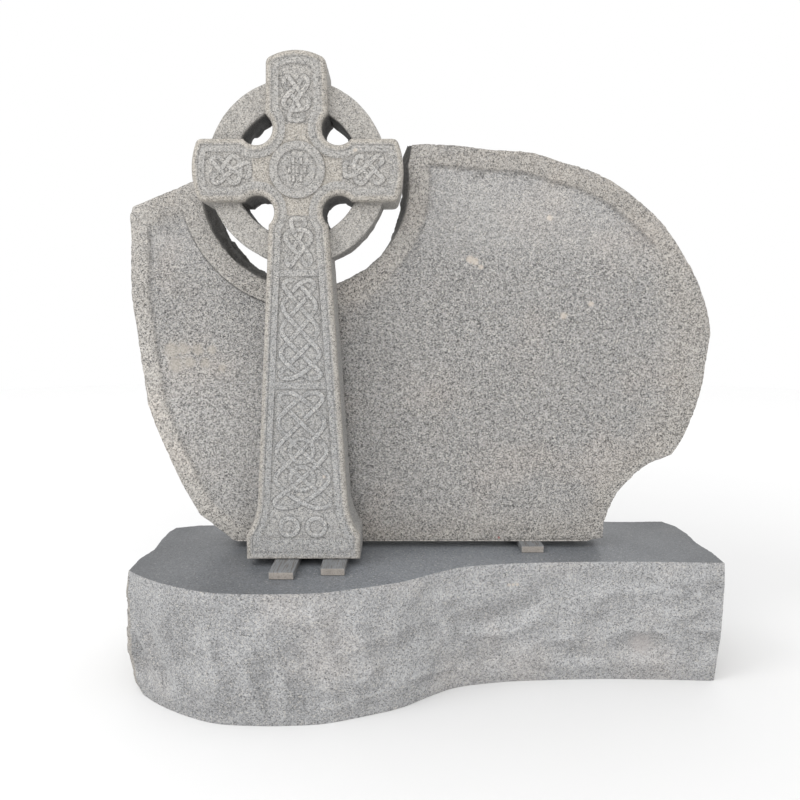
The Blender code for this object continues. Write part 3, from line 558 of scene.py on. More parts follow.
def dressed_granite(tints):
    """The base's softly rock-faced front, darker towards the foot as painted shade, and the
    tablet's back.
    """
    finish = Finish("dressed_granite")
    place = finish.place()
    x, _, z = finish.split(place)
    cloud = finish.grain(place, 6.0, 3.0).value("Fac")
    body = finish.mix(cloud.above(0.60, 0.20) * 0.14, tints.wall, tints.stain)
    # Painted light and shade: darker towards the foot, paler to the right, and paler on faces
    # tilted up and left
    body = finish.tinted(body, 0.92 + 0.05 * z.above(0.14, 0.20) + 0.10 * (cloud - 0.5)
                         + 0.08 * x.above(-0.15, 0.35)
                         + 0.32 * (finish.attribute("crest") - 0.5))
    base = granite_grains(finish, place, body, tints, crystal=0.0026, contrast=1.35)
    for mark in BASE_MARKS:
        base = finish.mark(place, base, *mark)
    tooling = finish.grain(place, 300.0, 3.0, 0.6).value("Fac")
    lumps = finish.grain(place, 40.0, 3.0, 0.6).value("Fac")
    finish.relief(tooling * 0.30 + lumps, 0.0040)
    return finish.finished(base, 0.72)


def polished_granite(tints):
    """Dark polished top of the base."""
    finish = Finish("polished_granite")
    place = finish.place()
    base = granite_grains(finish, place, tints.top, tints, crystal=0.0028, contrast=0.80,
                          dark=0.04, pale=0.01)
    # Painted light: the top is paler round the upright stones, standing in for their reflection
    # and lifting their shade
    away = finish.away(place, (0.02, -0.02, 0.3))
    base = finish.tinted(base, 1.70 - away.above(0.42, 0.55))
    smear = finish.grain(place, 9.0, 3.0).value("Fac")
    finish.shader.inputs["Specular IOR Level"].default_value = 0.25
    return finish.finished(base, 0.22 + 0.22 * smear)


def batten_wood(tints, name, top, ringed):
    """Weathered softwood with grain along Y."""
    finish = Finish(name)
    x, y, z = finish.split(finish.place())
    long_way = finish.joined(x, y * 0.06, z)
    rings = finish.grain(long_way, 420.0, 3.0, 0.6).value("Fac")
    cloud = finish.grain(finish.joined(x, y * 0.3, z), 60.0, 2.0).value("Fac")
    body = finish.tinted(top, 0.75 + 0.6 * cloud)
    base = finish.mix(rings.above(0.54, 0.08) * ringed, body, tints.wood_grain)
    finish.relief(rings, 0.0006)
    return finish.finished(base, 0.9)


def floor_finish(tints):
    """Matt studio floor."""
    finish = Finish("studio_floor")
    place = finish.place()
    cloud = finish.grain(place, 3.0, 2.0).value("Fac")
    base = finish.tinted(tints.floor, 0.99 + 0.02 * cloud)
    # Paler far away, so that the horizon hardly shows
    far = finish.away(place, (0.0, 0.0, 0.0)).above(2.6, 2.4)
    base = finish.mix(far, base, (0.97, 0.97, 0.97))
    return finish.finished(base, 0.9)


# Lines

def arc(centre, radius, start, end, count):
    """Points on an arc, both ends included; angles in radians."""
    return [(centre[0] + radius * math.cos(start + (end - start) * k / count),
             centre[1] + radius * math.sin(start + (end - start) * k / count))
            for k in range(count + 1)]


def curve_through(points, steps):
    """A smooth open curve through the points, with even steps between them."""
    last = len(points) - 1
    result = []
    for i in range(last):
        a, b = points[max(i - 1, 0)], points[i]
        c, d = points[i + 1], points[min(i + 2, last)]
        for k in range(steps):
            t = k / steps
            result.append(tuple(
                0.5 * (2 * q + (r - p) * t + (2 * p - 5 * q + 4 * r - s) * t * t
                       + (3 * q - p - 3 * r + s) * t ** 3)
                for p, q, r, s in zip(a, b, c, d)))
    result.append(tuple(points[-1]))
    return result


def bezier(a, b, c, count):
    """Quadratic curve from a to c, without its first point."""
    result = []
    for k in range(1, count + 1):
        t = k / count
        u = 1 - t
        result.append((u * u * a[0] + 2 * u * t * b[0] + t * t * c[0],
                       u * u * a[1] + 2 * u * t * b[1] + t * t * c[1]))
    return result


def fillet(corner, before, after, radius, count):
    """Points that round a corner."""
    to_before = Vector((before[0] - corner[0], before[1] - corner[1])).normalized()
    to_after = Vector((after[0] - corner[0], after[1] - corner[1])).normalized()
    start = (corner[0] + to_before.x * radius, corner[1] + to_before.y * radius)
    end = (corner[0] + to_after.x * radius, corner[1] + to_after.y * radius)
    return [start] + bezier(start, corner, end, count)


def edge_counts(loop, step):
    """Into how many pieces each edge of a closed line is cut."""
    loop = np.asarray(loop)
    lengths = np.hypot(*(np.roll(loop, -1, axis=0) - loop).T)
    return np.maximum(1, np.ceil(lengths / step).astype(int))


def cut_edges(loop, counts):
    """The closed line with each edge cut into equal pieces."""
    loop = np.asarray(loop, float)
    following = np.roll(loop, -1, axis=0)
    pieces = [here + (there - here) * (np.arange(count) / count)[:, None]
              for here, there, count in zip(loop, following, counts)]
    return np.concatenate(pieces)


def rectangle(x, z, half_width, half_height):
    """Corners of an upright rectangle about its middle, counter-clockwise."""
    return np.array([(x - half_width, z - half_height), (x + half_width, z - half_height),
                     (x + half_width, z + half_height), (x - half_width, z + half_height)])


def outward(loop):
    """Outward unit normals of a counter-clockwise closed line, at its points."""
    along = np.roll(loop, -1, axis=0) - np.roll(loop, 1, axis=0)
    along /= np.maximum(np.hypot(*along.T), 1e-9)[:, None]
    return np.column_stack([along[:, 1], -along[:, 0]])


def ramp(value, start, end):
    """0 before start, 1 after end, smooth between."""
    t = np.clip((value - start) / (end - start), 0.0, 1.0)
    return t * t * (3 - 2 * t)


def distance_to_edge(points, start, end):
    """Distance from each point to a straight edge, and the share along it."""
    along = end - start
    share = np.clip(((points - start) @ along) / max(float(along @ along), 1e-16), 0, 1)
    gap = points - (start + share[:, None] * along)
    return np.hypot(gap[:, 0], gap[:, 1]), share


def distance_to_loop(points, loop):
    """Distance from each point to a closed line."""
    best = np.full(len(points), np.inf)
    for start, end in zip(loop, np.roll(loop, -1, axis=0)):
        best = np.minimum(best, distance_to_edge(points, start, end)[0])
    return best


def is_inside(points, loop):
    """Whether each point lies inside a closed line."""
    inside = np.zeros(len(points), dtype=bool)
    x, z = points[:, 0], points[:, 1]
    for (ax, az), (bx, bz) in zip(loop, np.roll(loop, -1, axis=0)):
        if az == bz:
            continue
        spans = (az > z) != (bz > z)
        inside ^= spans & (x < ax + (z - az) * (bx - ax) / (bz - az))
    return inside


def field_of_points(loop, step):
    """Points in a triangle grid inside a closed line."""
    low, high = loop.min(axis=0), loop.max(axis=0)
    columns = np.arange(low[0], high[0], step)
    rows = np.arange(low[1], high[1], step * TRIANGLE_HEIGHT)
    grid = [np.column_stack([columns + (k % 2) * step / 2, np.full(len(columns), z)])
            for k, z in enumerate(rows)]
    points = np.concatenate(grid)
    return points[is_inside(points, loop)]


# Stone surfaces

def flakes(place, size, seed):
    """Height of a broken surface of tilted flakes of about that size, near -1 to 1."""
    where = Vector(place) / size
    where.x += seed
    cell = noise.voronoi(where)[1][0]
    tilt = noise.noise_vector(cell * 7.3)
    return 1.3 * tilt.dot(where - cell) + 0.7 * noise.noise(cell * 5.1)


def swelling(place, size, seed):
    """Soft unevenness, near -1 to 1."""
    where = Vector(place) / size
    where.y += seed
    return noise.noise(where)


def broken(place, depth, seed):
    """Height of rock-pitched stone: large and small flakes and some crumb."""
    return depth * (0.9 * flakes(place, 0.055, seed) + 0.5 * flakes(place, 0.020, seed)
                    + 0.25 * swelling(place, 0.007, seed))


def face_of(lines, inner_points):
    """Points, triangles and rim of a flat face whose facets follow closed lines."""
    flat = [Vector(p) for line in lines for p in line]
    edges = []
    first = 0
    for line in lines:
        count = len(line)
        edges += [(first + i, first + (i + 1) % count) for i in range(count)]
        first += count
    flat += [Vector(p) for p in inner_points]
    found = delaunay_2d_cdt(flat, edges, [], 0, 1e-7, True)
    points, triangles, origins = found[0], found[2], found[3]
    rim_count = len(lines[0])
    rim = [-1] * rim_count
    for i, sources in enumerate(origins):
        for source in sources:
            if source < rim_count:
                rim[source] = i
    places = np.array([tuple(p) for p in points])
    triangles = np.array(triangles)
    kept = is_inside(places[triangles].mean(axis=1), np.asarray(lines[0]))
    return places, triangles[kept], rim


class Body:
    """Points and faces of a piece, with numbers for its shader at each point."""

    def __init__(self, *attributes):
        self.points = []
        self.faces = []
        self.finishes = []
        self.numbers = {name: [] for name in attributes}

    def add(self, points, **numbers):
        """Add points, and return their numbers."""
        first = len(self.points)
        self.points += [tuple(map(float, p)) for p in points]
        for name, values in self.numbers.items():
            given = numbers.get(name, 0.0)
            values += list(np.broadcast_to(given, len(points)).astype(float))
        return list(range(first, len(self.points)))

    def cover(self, faces, finish):
        """Add faces in the finish of that number."""
        self.faces += faces
        self.finishes += [finish] * len(faces)

    def bridge(self, low, high, finish):
        """A strip of faces between two closed rows of points."""
        count = len(low)
        self.cover([(low[i], low[(i + 1) % count], high[(i + 1) % count], high[i])
                    for i in range(count)], finish)

    def made(self, name, materials):
        """The piece as an object."""
        mesh = bpy.data.meshes.new(name)
        mesh.from_pydata(self.points, [], [tuple(int(i) for i in f) for f in self.faces])
        for label, values in self.numbers.items():
            mesh.attributes.new(label, 'FLOAT', 'POINT').data.foreach_set("value", values)
        for material in materials:
            mesh.materials.append(material)
        mesh.polygons.foreach_set("material_index", self.finishes)
        work = bmesh.new()
        work.from_mesh(mesh)
        bmesh.ops.triangulate(work, faces=[f for f in work.faces if len(f.verts) > 4])
        bmesh.ops.recalc_face_normals(work, faces=work.faces)
        work.to_mesh(mesh)
        work.free()
        mesh.shade_smooth()
        mesh.set_sharp_from_angle(angle=math.radians(SMOOTH_ANGLE))
        piece = bpy.data.objects.new(name, mesh)
        bpy.context.scene.collection.objects.link(piece)
        return piece


# Places that several pieces share

def stone_foot(scene):
    """Height of the undersides of the cross and the tablet."""
    sizes = scene.headstone_base
    return sizes.height + sizes.batten_thickness


def boss_height(scene):
    """Height of the middle of the cross's boss, which the cut-out shares."""
    return stone_foot(scene) + scene.headstone_cross.boss_rise


def cross_front(scene):
    """Front plane of the cross."""
    sizes = scene.headstone_cross
    return scene.headstone_tablet.front - sizes.clearance - sizes.thickness


# The base

def base_outline(scene):
    """Top arris seen from above, counter-clockwise; for each point, whether it is on
    the front, how fully it is dressed, and its nearness to the front's ends."""
    s = scene.headstone_base
    left, back = -s.length / 2, s.front + s.depth
    corner_left = (left, s.front - BASE_CORNER_SHARES[0] * s.lobe)
    corner_right = (left + s.length, s.front - BASE_CORNER_SHARES[1] * s.lobe)
    front = [(left + u * s.length, s.front - v * s.lobe) for u, v in BASE_FRONT_SHARES]
    curve = curve_through([corner_left] + front + [corner_right], 8)
    right = [(left + s.length + dx, s.front + v * s.depth) for dx, v in BASE_RIGHT_END]
    rear = [(left + s.length * u, back - s.back_step * v) for u, v in BASE_REAR_SHARES]
    left_end = [(left + dx, s.front + v * s.depth) for dx, v in BASE_LEFT_END]
    loop = curve + right + rear + left_end
    counts = edge_counts(loop, ROCK_STEP)
    outline = cut_edges(loop, counts)
    front_end = int(sum(counts[:len(curve) - 1]))
    on_front = np.arange(len(outline)) <= front_end
    ends = outline[[0, front_end]]
    away = np.min([np.hypot(*(outline - end).T) for end in ends], axis=0)
    # The front's ends turn into the broken ends over a short way
    dressed = on_front * ramp(away, 0.0, 0.016)
    return outline, on_front & (away > 0.0), dressed, 1 - ramp(away, 0.0, 0.16)


def rock_face(s, place, share):
    """Height of the softly rock-faced front."""
    x, _, z = place
    # The ridges are steep at the lobe and nearly level at the right
    lean = ramp(x, -0.45, 0.15)
    steep = noise.noise(((x + 0.45 * z) / 0.060, 3.7, (z - 0.45 * x) / 0.190))
    level = noise.noise(((x - 0.15 * z) / 0.210, 8.1, (z + 0.15 * x) / 0.060))
    ridge = (1 - 2.6 * abs(steep)) * (1 - lean) + (1 - 2.6 * abs(level)) * lean
    lumps = swelling(place, 0.15, 3.0) + 0.6 * swelling(place, 0.055, 7.0)
    low = 1.0 - 0.70 * ramp(share, 0.45, 0.95)
    chips = flakes(place, 0.028, 2.0) * low
    return s.front_roughness * (0.9 * lumps + 0.8 * low * ridge + 0.22 * chips)


def height_and_painted_light(s, place, share):
    """The front's height, and its painted light, 0 to 1: paler where the face tilts up and left
    towards the key lamp, darker where it tilts away.
    """
    x, y, z = place
    height = rock_face(s, place, share)
    fall = height - rock_face(s, (x - 0.010, y, z + 0.008), share)
    return height, min(1.0, max(0.0, 0.5 + fall / 0.0048))


def build_base(scene):
    """The low block: crisp polished top, dressed front, rock-pitched ends and back."""
    s = scene.headstone_base
    outline, on_front, dressed, near = base_outline(scene)
    normals = outward(outline)
    body = Body("grime", "crest")
    rows = int(round(s.height / ROCK_STEP))
    shares = np.linspace(0.0, 1.0, rows + 1)
    bulges = np.interp(shares, (0.0, 0.10, 0.36, 0.62, 0.86, 1.0),
                       (-0.2, 0.5, 1.0, 0.75, 0.35, 0.0))
    top_finish, front_finish, wall_finish = range(3)
    rings = []
    for share, bulge in zip(shares, bulges):
        z = share * s.height
        fade = min(1.0, 6 * min(share, 1 - share))
        moved, crests = [], []
        back = s.undercut * (1 - share)
        tuck = 0.5 * s.undercut * (1 - share) ** 3
        for (x, y), (nx, ny), front, cut, calm in zip(
                outline, normals, on_front, dressed, near):
            place = (x, y, z)
            height, crest = height_and_painted_light(s, place, share)
            pitched = ((broken(place, 0.0050, 5.0) * (0.35 + 0.65 * fade) + s.bulge * bulge)
                       * (1 - calm * (0.7 if x > 0 else 0.0)) - 0.002 * (1 - fade))
            out = height * fade * cut + pitched * (1 - cut)
            # The foot is set back under the front, and round its corners
            if front:
                out -= back
            else:
                x -= math.copysign(tuck * calm, x)
                y += back * calm
            moved.append((x + nx * out, y + ny * out, z))
            # Painted light and shade from the front's tilt, flat where the front fades out
            crests.append(crest * fade + 0.5 * (1 - fade))
        rings.append(body.add(moved, crest=crests))
    # The arris is worn back a little
    top = rings[-1]
    worn = []
    for i, (nx, ny) in zip(top, normals):
        x, y, z = body.points[i]
        chip = 0.0009 + 0.0016 * max(0.0, swelling((x, y, 0.0), 0.012, 9.0))
        body.points[i] = (x, y, z - chip)
        worn.append((x - nx * chip, y - ny * chip, z))
    crown = body.add(worn)
    count = len(top)
    for low, high in zip(rings[:-1], rings[1:]):
        for i in range(count):
            j = (i + 1) % count
            body.cover([(low[i], low[j], high[j], high[i])],
                       front_finish if dressed[i] > 0.02 else wall_finish)
    body.bridge(top, crown, front_finish)
    body.cover([crown], top_finish)
    body.cover([rings[0]], wall_finish)
    tints = scene.headstone_colours
    return body.made("base_stone", [polished_granite(tints), dressed_granite(tints),
                                    broken_granite(tints)])


# The battens

def build_battens(scene):
    """Sawn softwood strips with slightly worn edges."""
    s = scene.headstone_base
    cross, tablet = scene.headstone_cross, scene.headstone_tablet
    tints = scene.headstone_colours
    # Long faces partly weathered, partly painted shade, darker than the sawn ends
    tops = batten_wood(tints, "batten_weathered_and_shaded", tints.wood_weathered_and_shaded, 0.9)
    ends = batten_wood(tints, "batten_sawn_end", tints.wood_end, 0.35)
    long_finish, end_finish = range(2)
    # Rounding of the long edges, wear of the ends, and spacing of the mesh along them
    worn, end_worn, spacing = 0.0016, 0.0012, 0.008
    cross_face = cross_front(scene)
    back = tablet.front + tablet.thickness + s.batten_tail
    low = s.height + SEAT_GAP
    high = s.height + s.batten_thickness - SEAT_GAP
    half = s.batten_width / 2
    made = []
    for name, middle, front in (
            ("batten_left", cross.x + LEFT_BATTEN[0], cross_face - LEFT_BATTEN[1]),
            ("batten_right", cross.x + RIGHT_BATTEN[0], cross_face - RIGHT_BATTEN[1]),
            ("batten_tablet", tablet.left + TABLET_BATTEN[0],
             tablet.front - TABLET_BATTEN[1])):
        section = []
        for corner_x, corner_z, turn in ((half, high, 0.0), (-half, high, 0.5),
                                         (-half, low, 1.0), (half, low, 1.5)):
            centre = (corner_x - math.copysign(worn, corner_x),
                      corner_z - (worn if corner_z == high else -worn))
            section += arc(centre, worn, turn * math.pi, (turn + 0.5) * math.pi, 4)
        section = cut_edges(section, edge_counts(section, ROCK_STEP))
        body = Body()
        rings = []
        steps = int((back - front) / spacing)
        stations = [front, front + end_worn] + list(
            np.linspace(front + spacing, back - spacing, steps)) + [back - end_worn, back]
        for number, y in enumerate(stations):
            end = number in (0, len(stations) - 1)
            shrink = end_worn if end else 0.0
            ring = []
            for x, z in section:
                drift = 0.0007 * swelling((x, y * 0.4, z), 0.02, middle * 10)
                scale = 1 - shrink / half
                lift = (low + high) / 2
                ring.append((middle + x * scale + drift,
                             y + (0.0006 * swelling((x, z, 0.0), 0.006, 2.0) if end else 0.0),
                             lift + (z - lift) * (1 - shrink / (lift - low))))
            rings.append(body.add(ring))
        for a, b in zip(rings[:-1], rings[1:]):
            body.bridge(a, b, long_finish)
        body.cover([rings[0], rings[-1]], end_finish)
        made.append(body.made(name, [tops, ends]))
    return made


# The tablet

def tablet_outline(scene):
    """Front outline, counter-clockwise seen from the front, and facts of its edges.

    Returns the points, the margin's width, the ramp's width, whether each edge is
    rock-pitched and in the cut-out, and how pale its margin is painted: partly greyer stone,
    partly painted light.
    """
    s = scene.headstone_tablet
    foot, boss = stone_foot(scene), boss_height(scene)
    far_right = s.left + s.width
    radius = s.wheel_gap + scene.headstone_cross.wheel_outer
    corner_rise, shoulder_rise = 0.997, 0.908
    start = math.asin((foot + corner_rise * s.height - s.corner_drop - boss) / radius)
    end = -math.pi - math.asin((foot + shoulder_rise * s.height - boss) / radius)
    notch = arc((scene.headstone_cross.x + s.notch_offset, boss), radius, start, end, 90)
    corner_x = notch[0][0] + s.corner_flare

    def between(low, high, points):
        return [(low + u * (high - low), foot + v * s.height) for u, v in points]

    def place(points):
        return between(s.left, far_right, points)

    bottom = place(((0.172, 0.0), (0.40, 0.0), (0.60, 0.0), (0.795, 0.0)))
    chip = place(((0.803, 0.003), (0.825, 0.008)))
    scoop = curve_through(place((
        (0.826, 0.048), (0.839, 0.101), (0.853, 0.136), (0.878, 0.175), (0.904, 0.204),
        (0.941, 0.227))), 4)
    right = curve_through(place((
        (0.954, 0.253), (0.970, 0.305), (0.987, 0.382), (0.998, 0.509), (1.000, 0.546),
        (0.990, 0.609), (0.968, 0.685), (0.941, 0.749))), 6)
    top = curve_through(between(corner_x, far_right, (
        (0.834, 0.802), (0.781, 0.841), (0.681, 0.899), (0.580, 0.937), (0.482, 0.958),
        (0.383, 0.980), (0.230, 0.989), (0.139, 0.996), (0.043, 0.9995))), 6)
    corner = between(corner_x, far_right, ((0.0, corner_rise),))
    shoulder = between(s.left, notch[-1][0], ((0.877, shoulder_rise), (0.463, 0.877)))
    left = place((
        (0.0085, 0.851), (0.0028, 0.829), (0.0048, 0.781), (0.0020, 0.705),
        (0.0005, 0.633), (0.008, 0.534), (0.0156, 0.433), (0.022, 0.356), (0.033, 0.305),
        (0.054, 0.227), (0.077, 0.149), (0.107, 0.069), (0.163, 0.003)))
    # The last number of a stretch is how pale its margin is painted: partly greyer stone,
    # partly painted light
    stretches = ((bottom, s.foot_band, s.faded_ramp, 0, 0, 0.4),
                 (chip + scoop, s.foot_band, s.faded_ramp, 1, 0, 0.9),
                 (right, s.side_band, s.soft_ramp, 1, 0, 0.4),
                 (top, s.top_band, s.soft_ramp, 1, 0, 0.0),
                 (corner + notch[:-1], s.notch_band, s.ramp, 1, 1, 0.6),
                 (notch[-1:] + shoulder, s.top_band, s.shoulder_ramp, 1, 0, 0.0),
                 (left, s.side_band, s.left_ramp, 1, 0, 0.7))
    loop, facts = [], []
    for stretch, *values in stretches:
        loop += stretch
        facts += [values] * len(stretch)
    counts = edge_counts(loop, ROCK_STEP * 0.8)
    outline = cut_edges(loop, counts)
    facts = np.repeat(np.array(facts), counts, axis=0)
    # On the cut-out's right the line is softer, and low down it and the swelling fade
    beside = (facts[:, CUT] > 0) & (outline[:, 0] > scene.headstone_cross.x)
    drop = boss - outline[:, 1]
    slope = s.soft_ramp + (s.shoulder_ramp - s.soft_ramp) * ramp(drop, 0.17, 0.22)
    low = ramp(drop, 0.08, 0.17)
    facts[:, WIDTH] -= np.where(beside, 0.004, 0.0)
    for column, values in ((SLOPE, slope), (CUT, 1 - 0.8 * low), (PALE_AND_LIT, 0.6 + 0.4 * low)):
        facts[:, column] = np.where(beside, values, facts[:, column])
    # Down the right side the line fades out
    fading = (outline[:, 0] > corner_x) & (facts[:, SLOPE] == s.soft_ramp)
    fade = ramp(outline[:, 1], s.fade_low, s.fade_high)
    facts[:, SLOPE] = np.where(fading, s.faded_ramp + (s.soft_ramp - s.faded_ramp) * fade,
                               facts[:, SLOPE])
    return outline, facts


def sunk_share(s, points, outline, facts):
    """For each point: its share of the sunk face, the painted shade along crisp lines, and
    how pale the margin is painted there, partly greyer stone and partly painted light."""
    sunk = np.ones(len(points))
    grime, tone = np.zeros((2, len(points)))
    for start, end, values in zip(outline, np.roll(outline, -1, axis=0), facts):
        width, slope, _, _, pale = values
        into = distance_to_edge(points, start, end)[0] - width
        sunk = np.minimum(sunk, ramp(into, 0.0, slope))
        tone = np.maximum(tone, pale * (1 - ramp(into, 0.0, 0.03)))
        # Painted shade along the foot of the crisp steps into the sunk face
        if slope <= s.left_ramp:
            line = 1 - ramp(np.abs(into - 0.8 * slope), 0.0, 0.7 * slope)
            grime = np.maximum(grime, line * (s.ramp / slope) ** 1.4)
    return sunk, 0.7 * grime * ramp(sunk, 0.0, 0.3), tone


def build_tablet(scene):
    """The tablet: satin sunk face, rough warm margin, rock-pitched edges."""
    s = scene.headstone_tablet
    foot = stone_foot(scene)
    outline, facts = tablet_outline(scene)
    widths, slopes, rock, cut = facts[:, [WIDTH, SLOPE, ROCK, CUT]].T
    face_finish, wall_finish, back_finish = range(3)
    normals = outward(outline)
    # The arris is broken by small and large nibbles
    nibbles = []
    for (x, z), is_rock in zip(outline, rock):
        place = (x, 0.0, z)
        nibble = 0.0050 * max(0.0, flakes(place, 0.045, 1.0)) + 0.0022 * max(
            0.0, swelling(place, 0.011, 4.0)) + 0.0012 * flakes(place, 0.02, 2.0)
        nibbles.append(-is_rock * max(0.0, nibble))
    arris = outline + normals * np.array(nibbles)[:, None]
    arris[:, 1] = np.maximum(arris[:, 1], foot)
    lines = [arris]
    crisp = np.minimum(slopes, s.soft_ramp)
    for share in (0.0, 0.35, 1.0):
        lines.append(outline - normals * (widths + crisp * share)[:, None])
    margin_points = field_of_points(arris, ROCK_STEP)
    depth = distance_to_loop(margin_points, outline[::3])
    rough = margin_points[(depth > 0.003) & (depth < s.notch_band + 0.010)]
    plain = field_of_points(arris, PLAIN_STEP)
    plain = plain[distance_to_loop(plain, outline[::3]) > s.notch_band + 0.012]
    places, triangles, rim = face_of(lines, np.concatenate([rough, plain]))
    sunk, grime, tone = sunk_share(s, places, outline, facts)
    edge = distance_to_loop(places, outline)
    uneven = np.array([
        0.0009 * swelling((x, 0.0, z), 0.013, 6.0) + 0.0012 * flakes((x, 0.0, z), 0.026, 7.0)
        for x, z in places])
    fall = -0.0022 * (1 - ramp(edge, 0.0, 0.010))
    height = (1 - sunk) * (uneven + fall) - s.relief * sunk
    height[rim] = (fall + uneven)[rim] * rock
    body = Body("sunk", "grime", "tone")
    body.add(np.column_stack([places[:, 0], s.front - height, places[:, 1]]),
             sunk=sunk, grime=grime, tone=tone)
    body.cover([tuple(t) for t in triangles], face_finish)

    rows = int(round(s.thickness / ROCK_STEP))
    below = rim
    shares = np.linspace(0.0, 1.0, rows + 1)[1:]
    bulges = np.interp(shares, (0.0, 0.04, 0.28, 0.60, 0.90, 1.0), (0, 0, 0.6, 1.0, 0.6, -0.4))
    rim_out = np.array(nibbles)
    for share, bulge in zip(shares, bulges):
        y = s.front + share * s.thickness
        ring = []
        near_front = max(0.0, 1 - share / 0.06)
        for (x, z), (nx, nz), is_rock, is_cut, first_out in zip(
                outline, normals, rock, cut, rim_out):
            out = bulge * (s.roughness + (s.notch_bulge - s.roughness) * is_cut)
            depth = 0.0048 + (0.0014 + 0.0040 * share) * is_cut
            out += broken((x, y, z), depth, 11.0) * min(1.0, 0.3 + 5 * share)
            out = is_rock * (out * (1 - near_front) + first_out * near_front)
            ring.append((x + nx * out, y, max(foot, z + nz * out)))
        # Painted shade on the cut-out's wall, behind its front edge
        current = body.add(ring, grime=cut * 1.28 * ramp(share, 0.0, 0.12))
        body.bridge(below, current, wall_finish)
        below = current
    body.cover([below], back_finish)
    tints = scene.headstone_colours
    return body.made("tablet_stone", [tablet_granite(tints), broken_granite(tints),
                                      dressed_granite(tints)])


# The cross: outline

def pit_offset(s):
    """Distance of an armpit circle's middle from the cross's two middle lines."""
    return s.arm_half + s.pit_standoff


def foot_line(s, inset):
    """Height above the foot at which an inset line crosses the plinth."""
    return (FOOT_EDGE_SHARE * min(inset, s.edge_round)
            + FOOT_LINE_SHARE * max(inset - s.edge_round, 0.0))


def cross_outline(s, inset):
    """Outline moved inward by inset, counter-clockwise, heights above the foot."""
    middle = s.boss_rise
    least = 0.002
    arm = s.arm_half - inset
    pit = s.pit_radius + inset
    offset = pit_offset(s)
    shaft_top = s.arm_half - s.neck_spread - inset
    neck = s.arm_half + s.neck_spread - inset
    rounding = max(s.corner_round - inset, least)
    low = foot_line(s, inset)
    plinth_top = max(s.plinth_rise, low + least)
    turn_height = (plinth_top + s.flare_rise) / 2 - s.flare_fullness
    points = [(s.plinth_half - inset, low), (s.plinth_half - inset, plinth_top)]
    points += bezier(points[-1], (s.foot_half + s.flare_fullness - inset, turn_height),
                     (s.foot_half - inset, s.flare_rise), 12)

    drop = math.sqrt(pit ** 2 - (offset - shaft_top) ** 2)
    run = math.sqrt(pit ** 2 - (offset - arm) ** 2)
    start = math.atan2(-drop, shaft_top - offset)
    end = math.atan2(offset - arm, run)
    points += arc((offset, middle - offset), pit, start + math.tau, end, 24)

    end_radius = (s.arm_half ** 2 + s.arm_bulge ** 2) / (2 * s.arm_bulge)
    end_centre = s.arm_reach - end_radius
    reach = end_radius - inset
    angle = math.asin(arm / reach)
    tip = arc((end_centre, middle), reach, -angle, angle, 12)
    points += fillet(tip[0], points[-1], tip[1], rounding, 5)
    points += tip[2:-2]
    points += fillet(tip[-1], tip[-2], (0.0, tip[-1][1]), rounding, 5)

    climb = math.sqrt(pit ** 2 - (offset - neck) ** 2)
    start = math.atan2(arm - offset, run)
    end = math.atan2(climb, neck - offset)
    points += arc((offset, middle + offset), pit, start, end - math.tau, 24)

    top_radius = (s.top_half ** 2 + s.top_bulge ** 2) / (2 * s.top_bulge)
    top_centre = middle + s.top_reach - top_radius
    angle = math.asin((s.top_half - inset) / (top_radius - inset))
    crown = arc((0.0, top_centre), top_radius - inset, math.pi / 2 - angle, math.pi / 2, 10)
    points += fillet(crown[0], points[-1], crown[1], rounding, 5)
    points += crown[2:-1]
    return points + [crown[-1]] + [(-x, z) for x, z in reversed(points)]


# The cross: knots

def field_half(scene, height):
    """Half-width of the shaft's sunk field at a height above the foot."""
    s, c = scene.headstone_cross, scene.headstone_carving
    top_half = s.arm_half - s.neck_spread
    shaft_height = s.boss_rise - pit_offset(s) - s.pit_radius - s.flare_rise
    share = (height - s.flare_rise) / shaft_height
    return s.foot_half + (top_half - s.foot_half) * share - c.inner_band - c.line / 2


def wave(angle):
    """A sine pulled towards straight runs between rounded turns."""
    return math.asin(WAVE_SHARPNESS * math.sin(angle)) / math.asin(WAVE_SHARPNESS)


def plait(lobes_at_ends, lobes_at_sides, place):
    """A closed woven line; place maps shares along and across to the face."""
    count = 64 * (lobes_at_ends + lobes_at_sides)
    return [place(0.5 + 0.5 * wave(math.tau * lobes_at_ends * k / count),
                  wave(math.tau * lobes_at_sides * k / count))
            for k in range(count)]


def closed_curve(points, steps):
    """A smooth closed curve through the points, with even steps between them."""
    around = points[-1:] + points + points[:2]
    return curve_through(around, steps)[steps:-steps - 1]


def arm_panel(scene, reach, full_half):
    """Place of an arm's knot shares on the face, narrow at the boss."""
    s, c = scene.headstone_cross, scene.headstone_carving
    clearance = c.ribbon / 2 + c.ribbon_margin
    near = c.knot_start + c.ribbon / 2
    far = reach - c.inner_band - clearance
    clear_pit = s.pit_radius + c.inner_band + clearance
    full = full_half - c.inner_band - clearance

    def place(along, across):
        out = near + (far - near) * along
        beside = abs(out - pit_offset(s))
        half = full
        if beside < clear_pit:
            half = min(full, pit_offset(s) - math.sqrt(clear_pit ** 2 - beside ** 2))
        return out, half * across
    return place


def shaft_panel(scene, low, high):
    """Place of a shaft panel's plait shares on the face."""
    c = scene.headstone_carving
    clearance = c.ribbon / 2 + c.ribbon_margin
    bottom, top = low + clearance, high - clearance

    def place(along, across):
        height = bottom + (top - bottom) * along
        return (field_half(scene, height) - clearance) * across, height
    return place


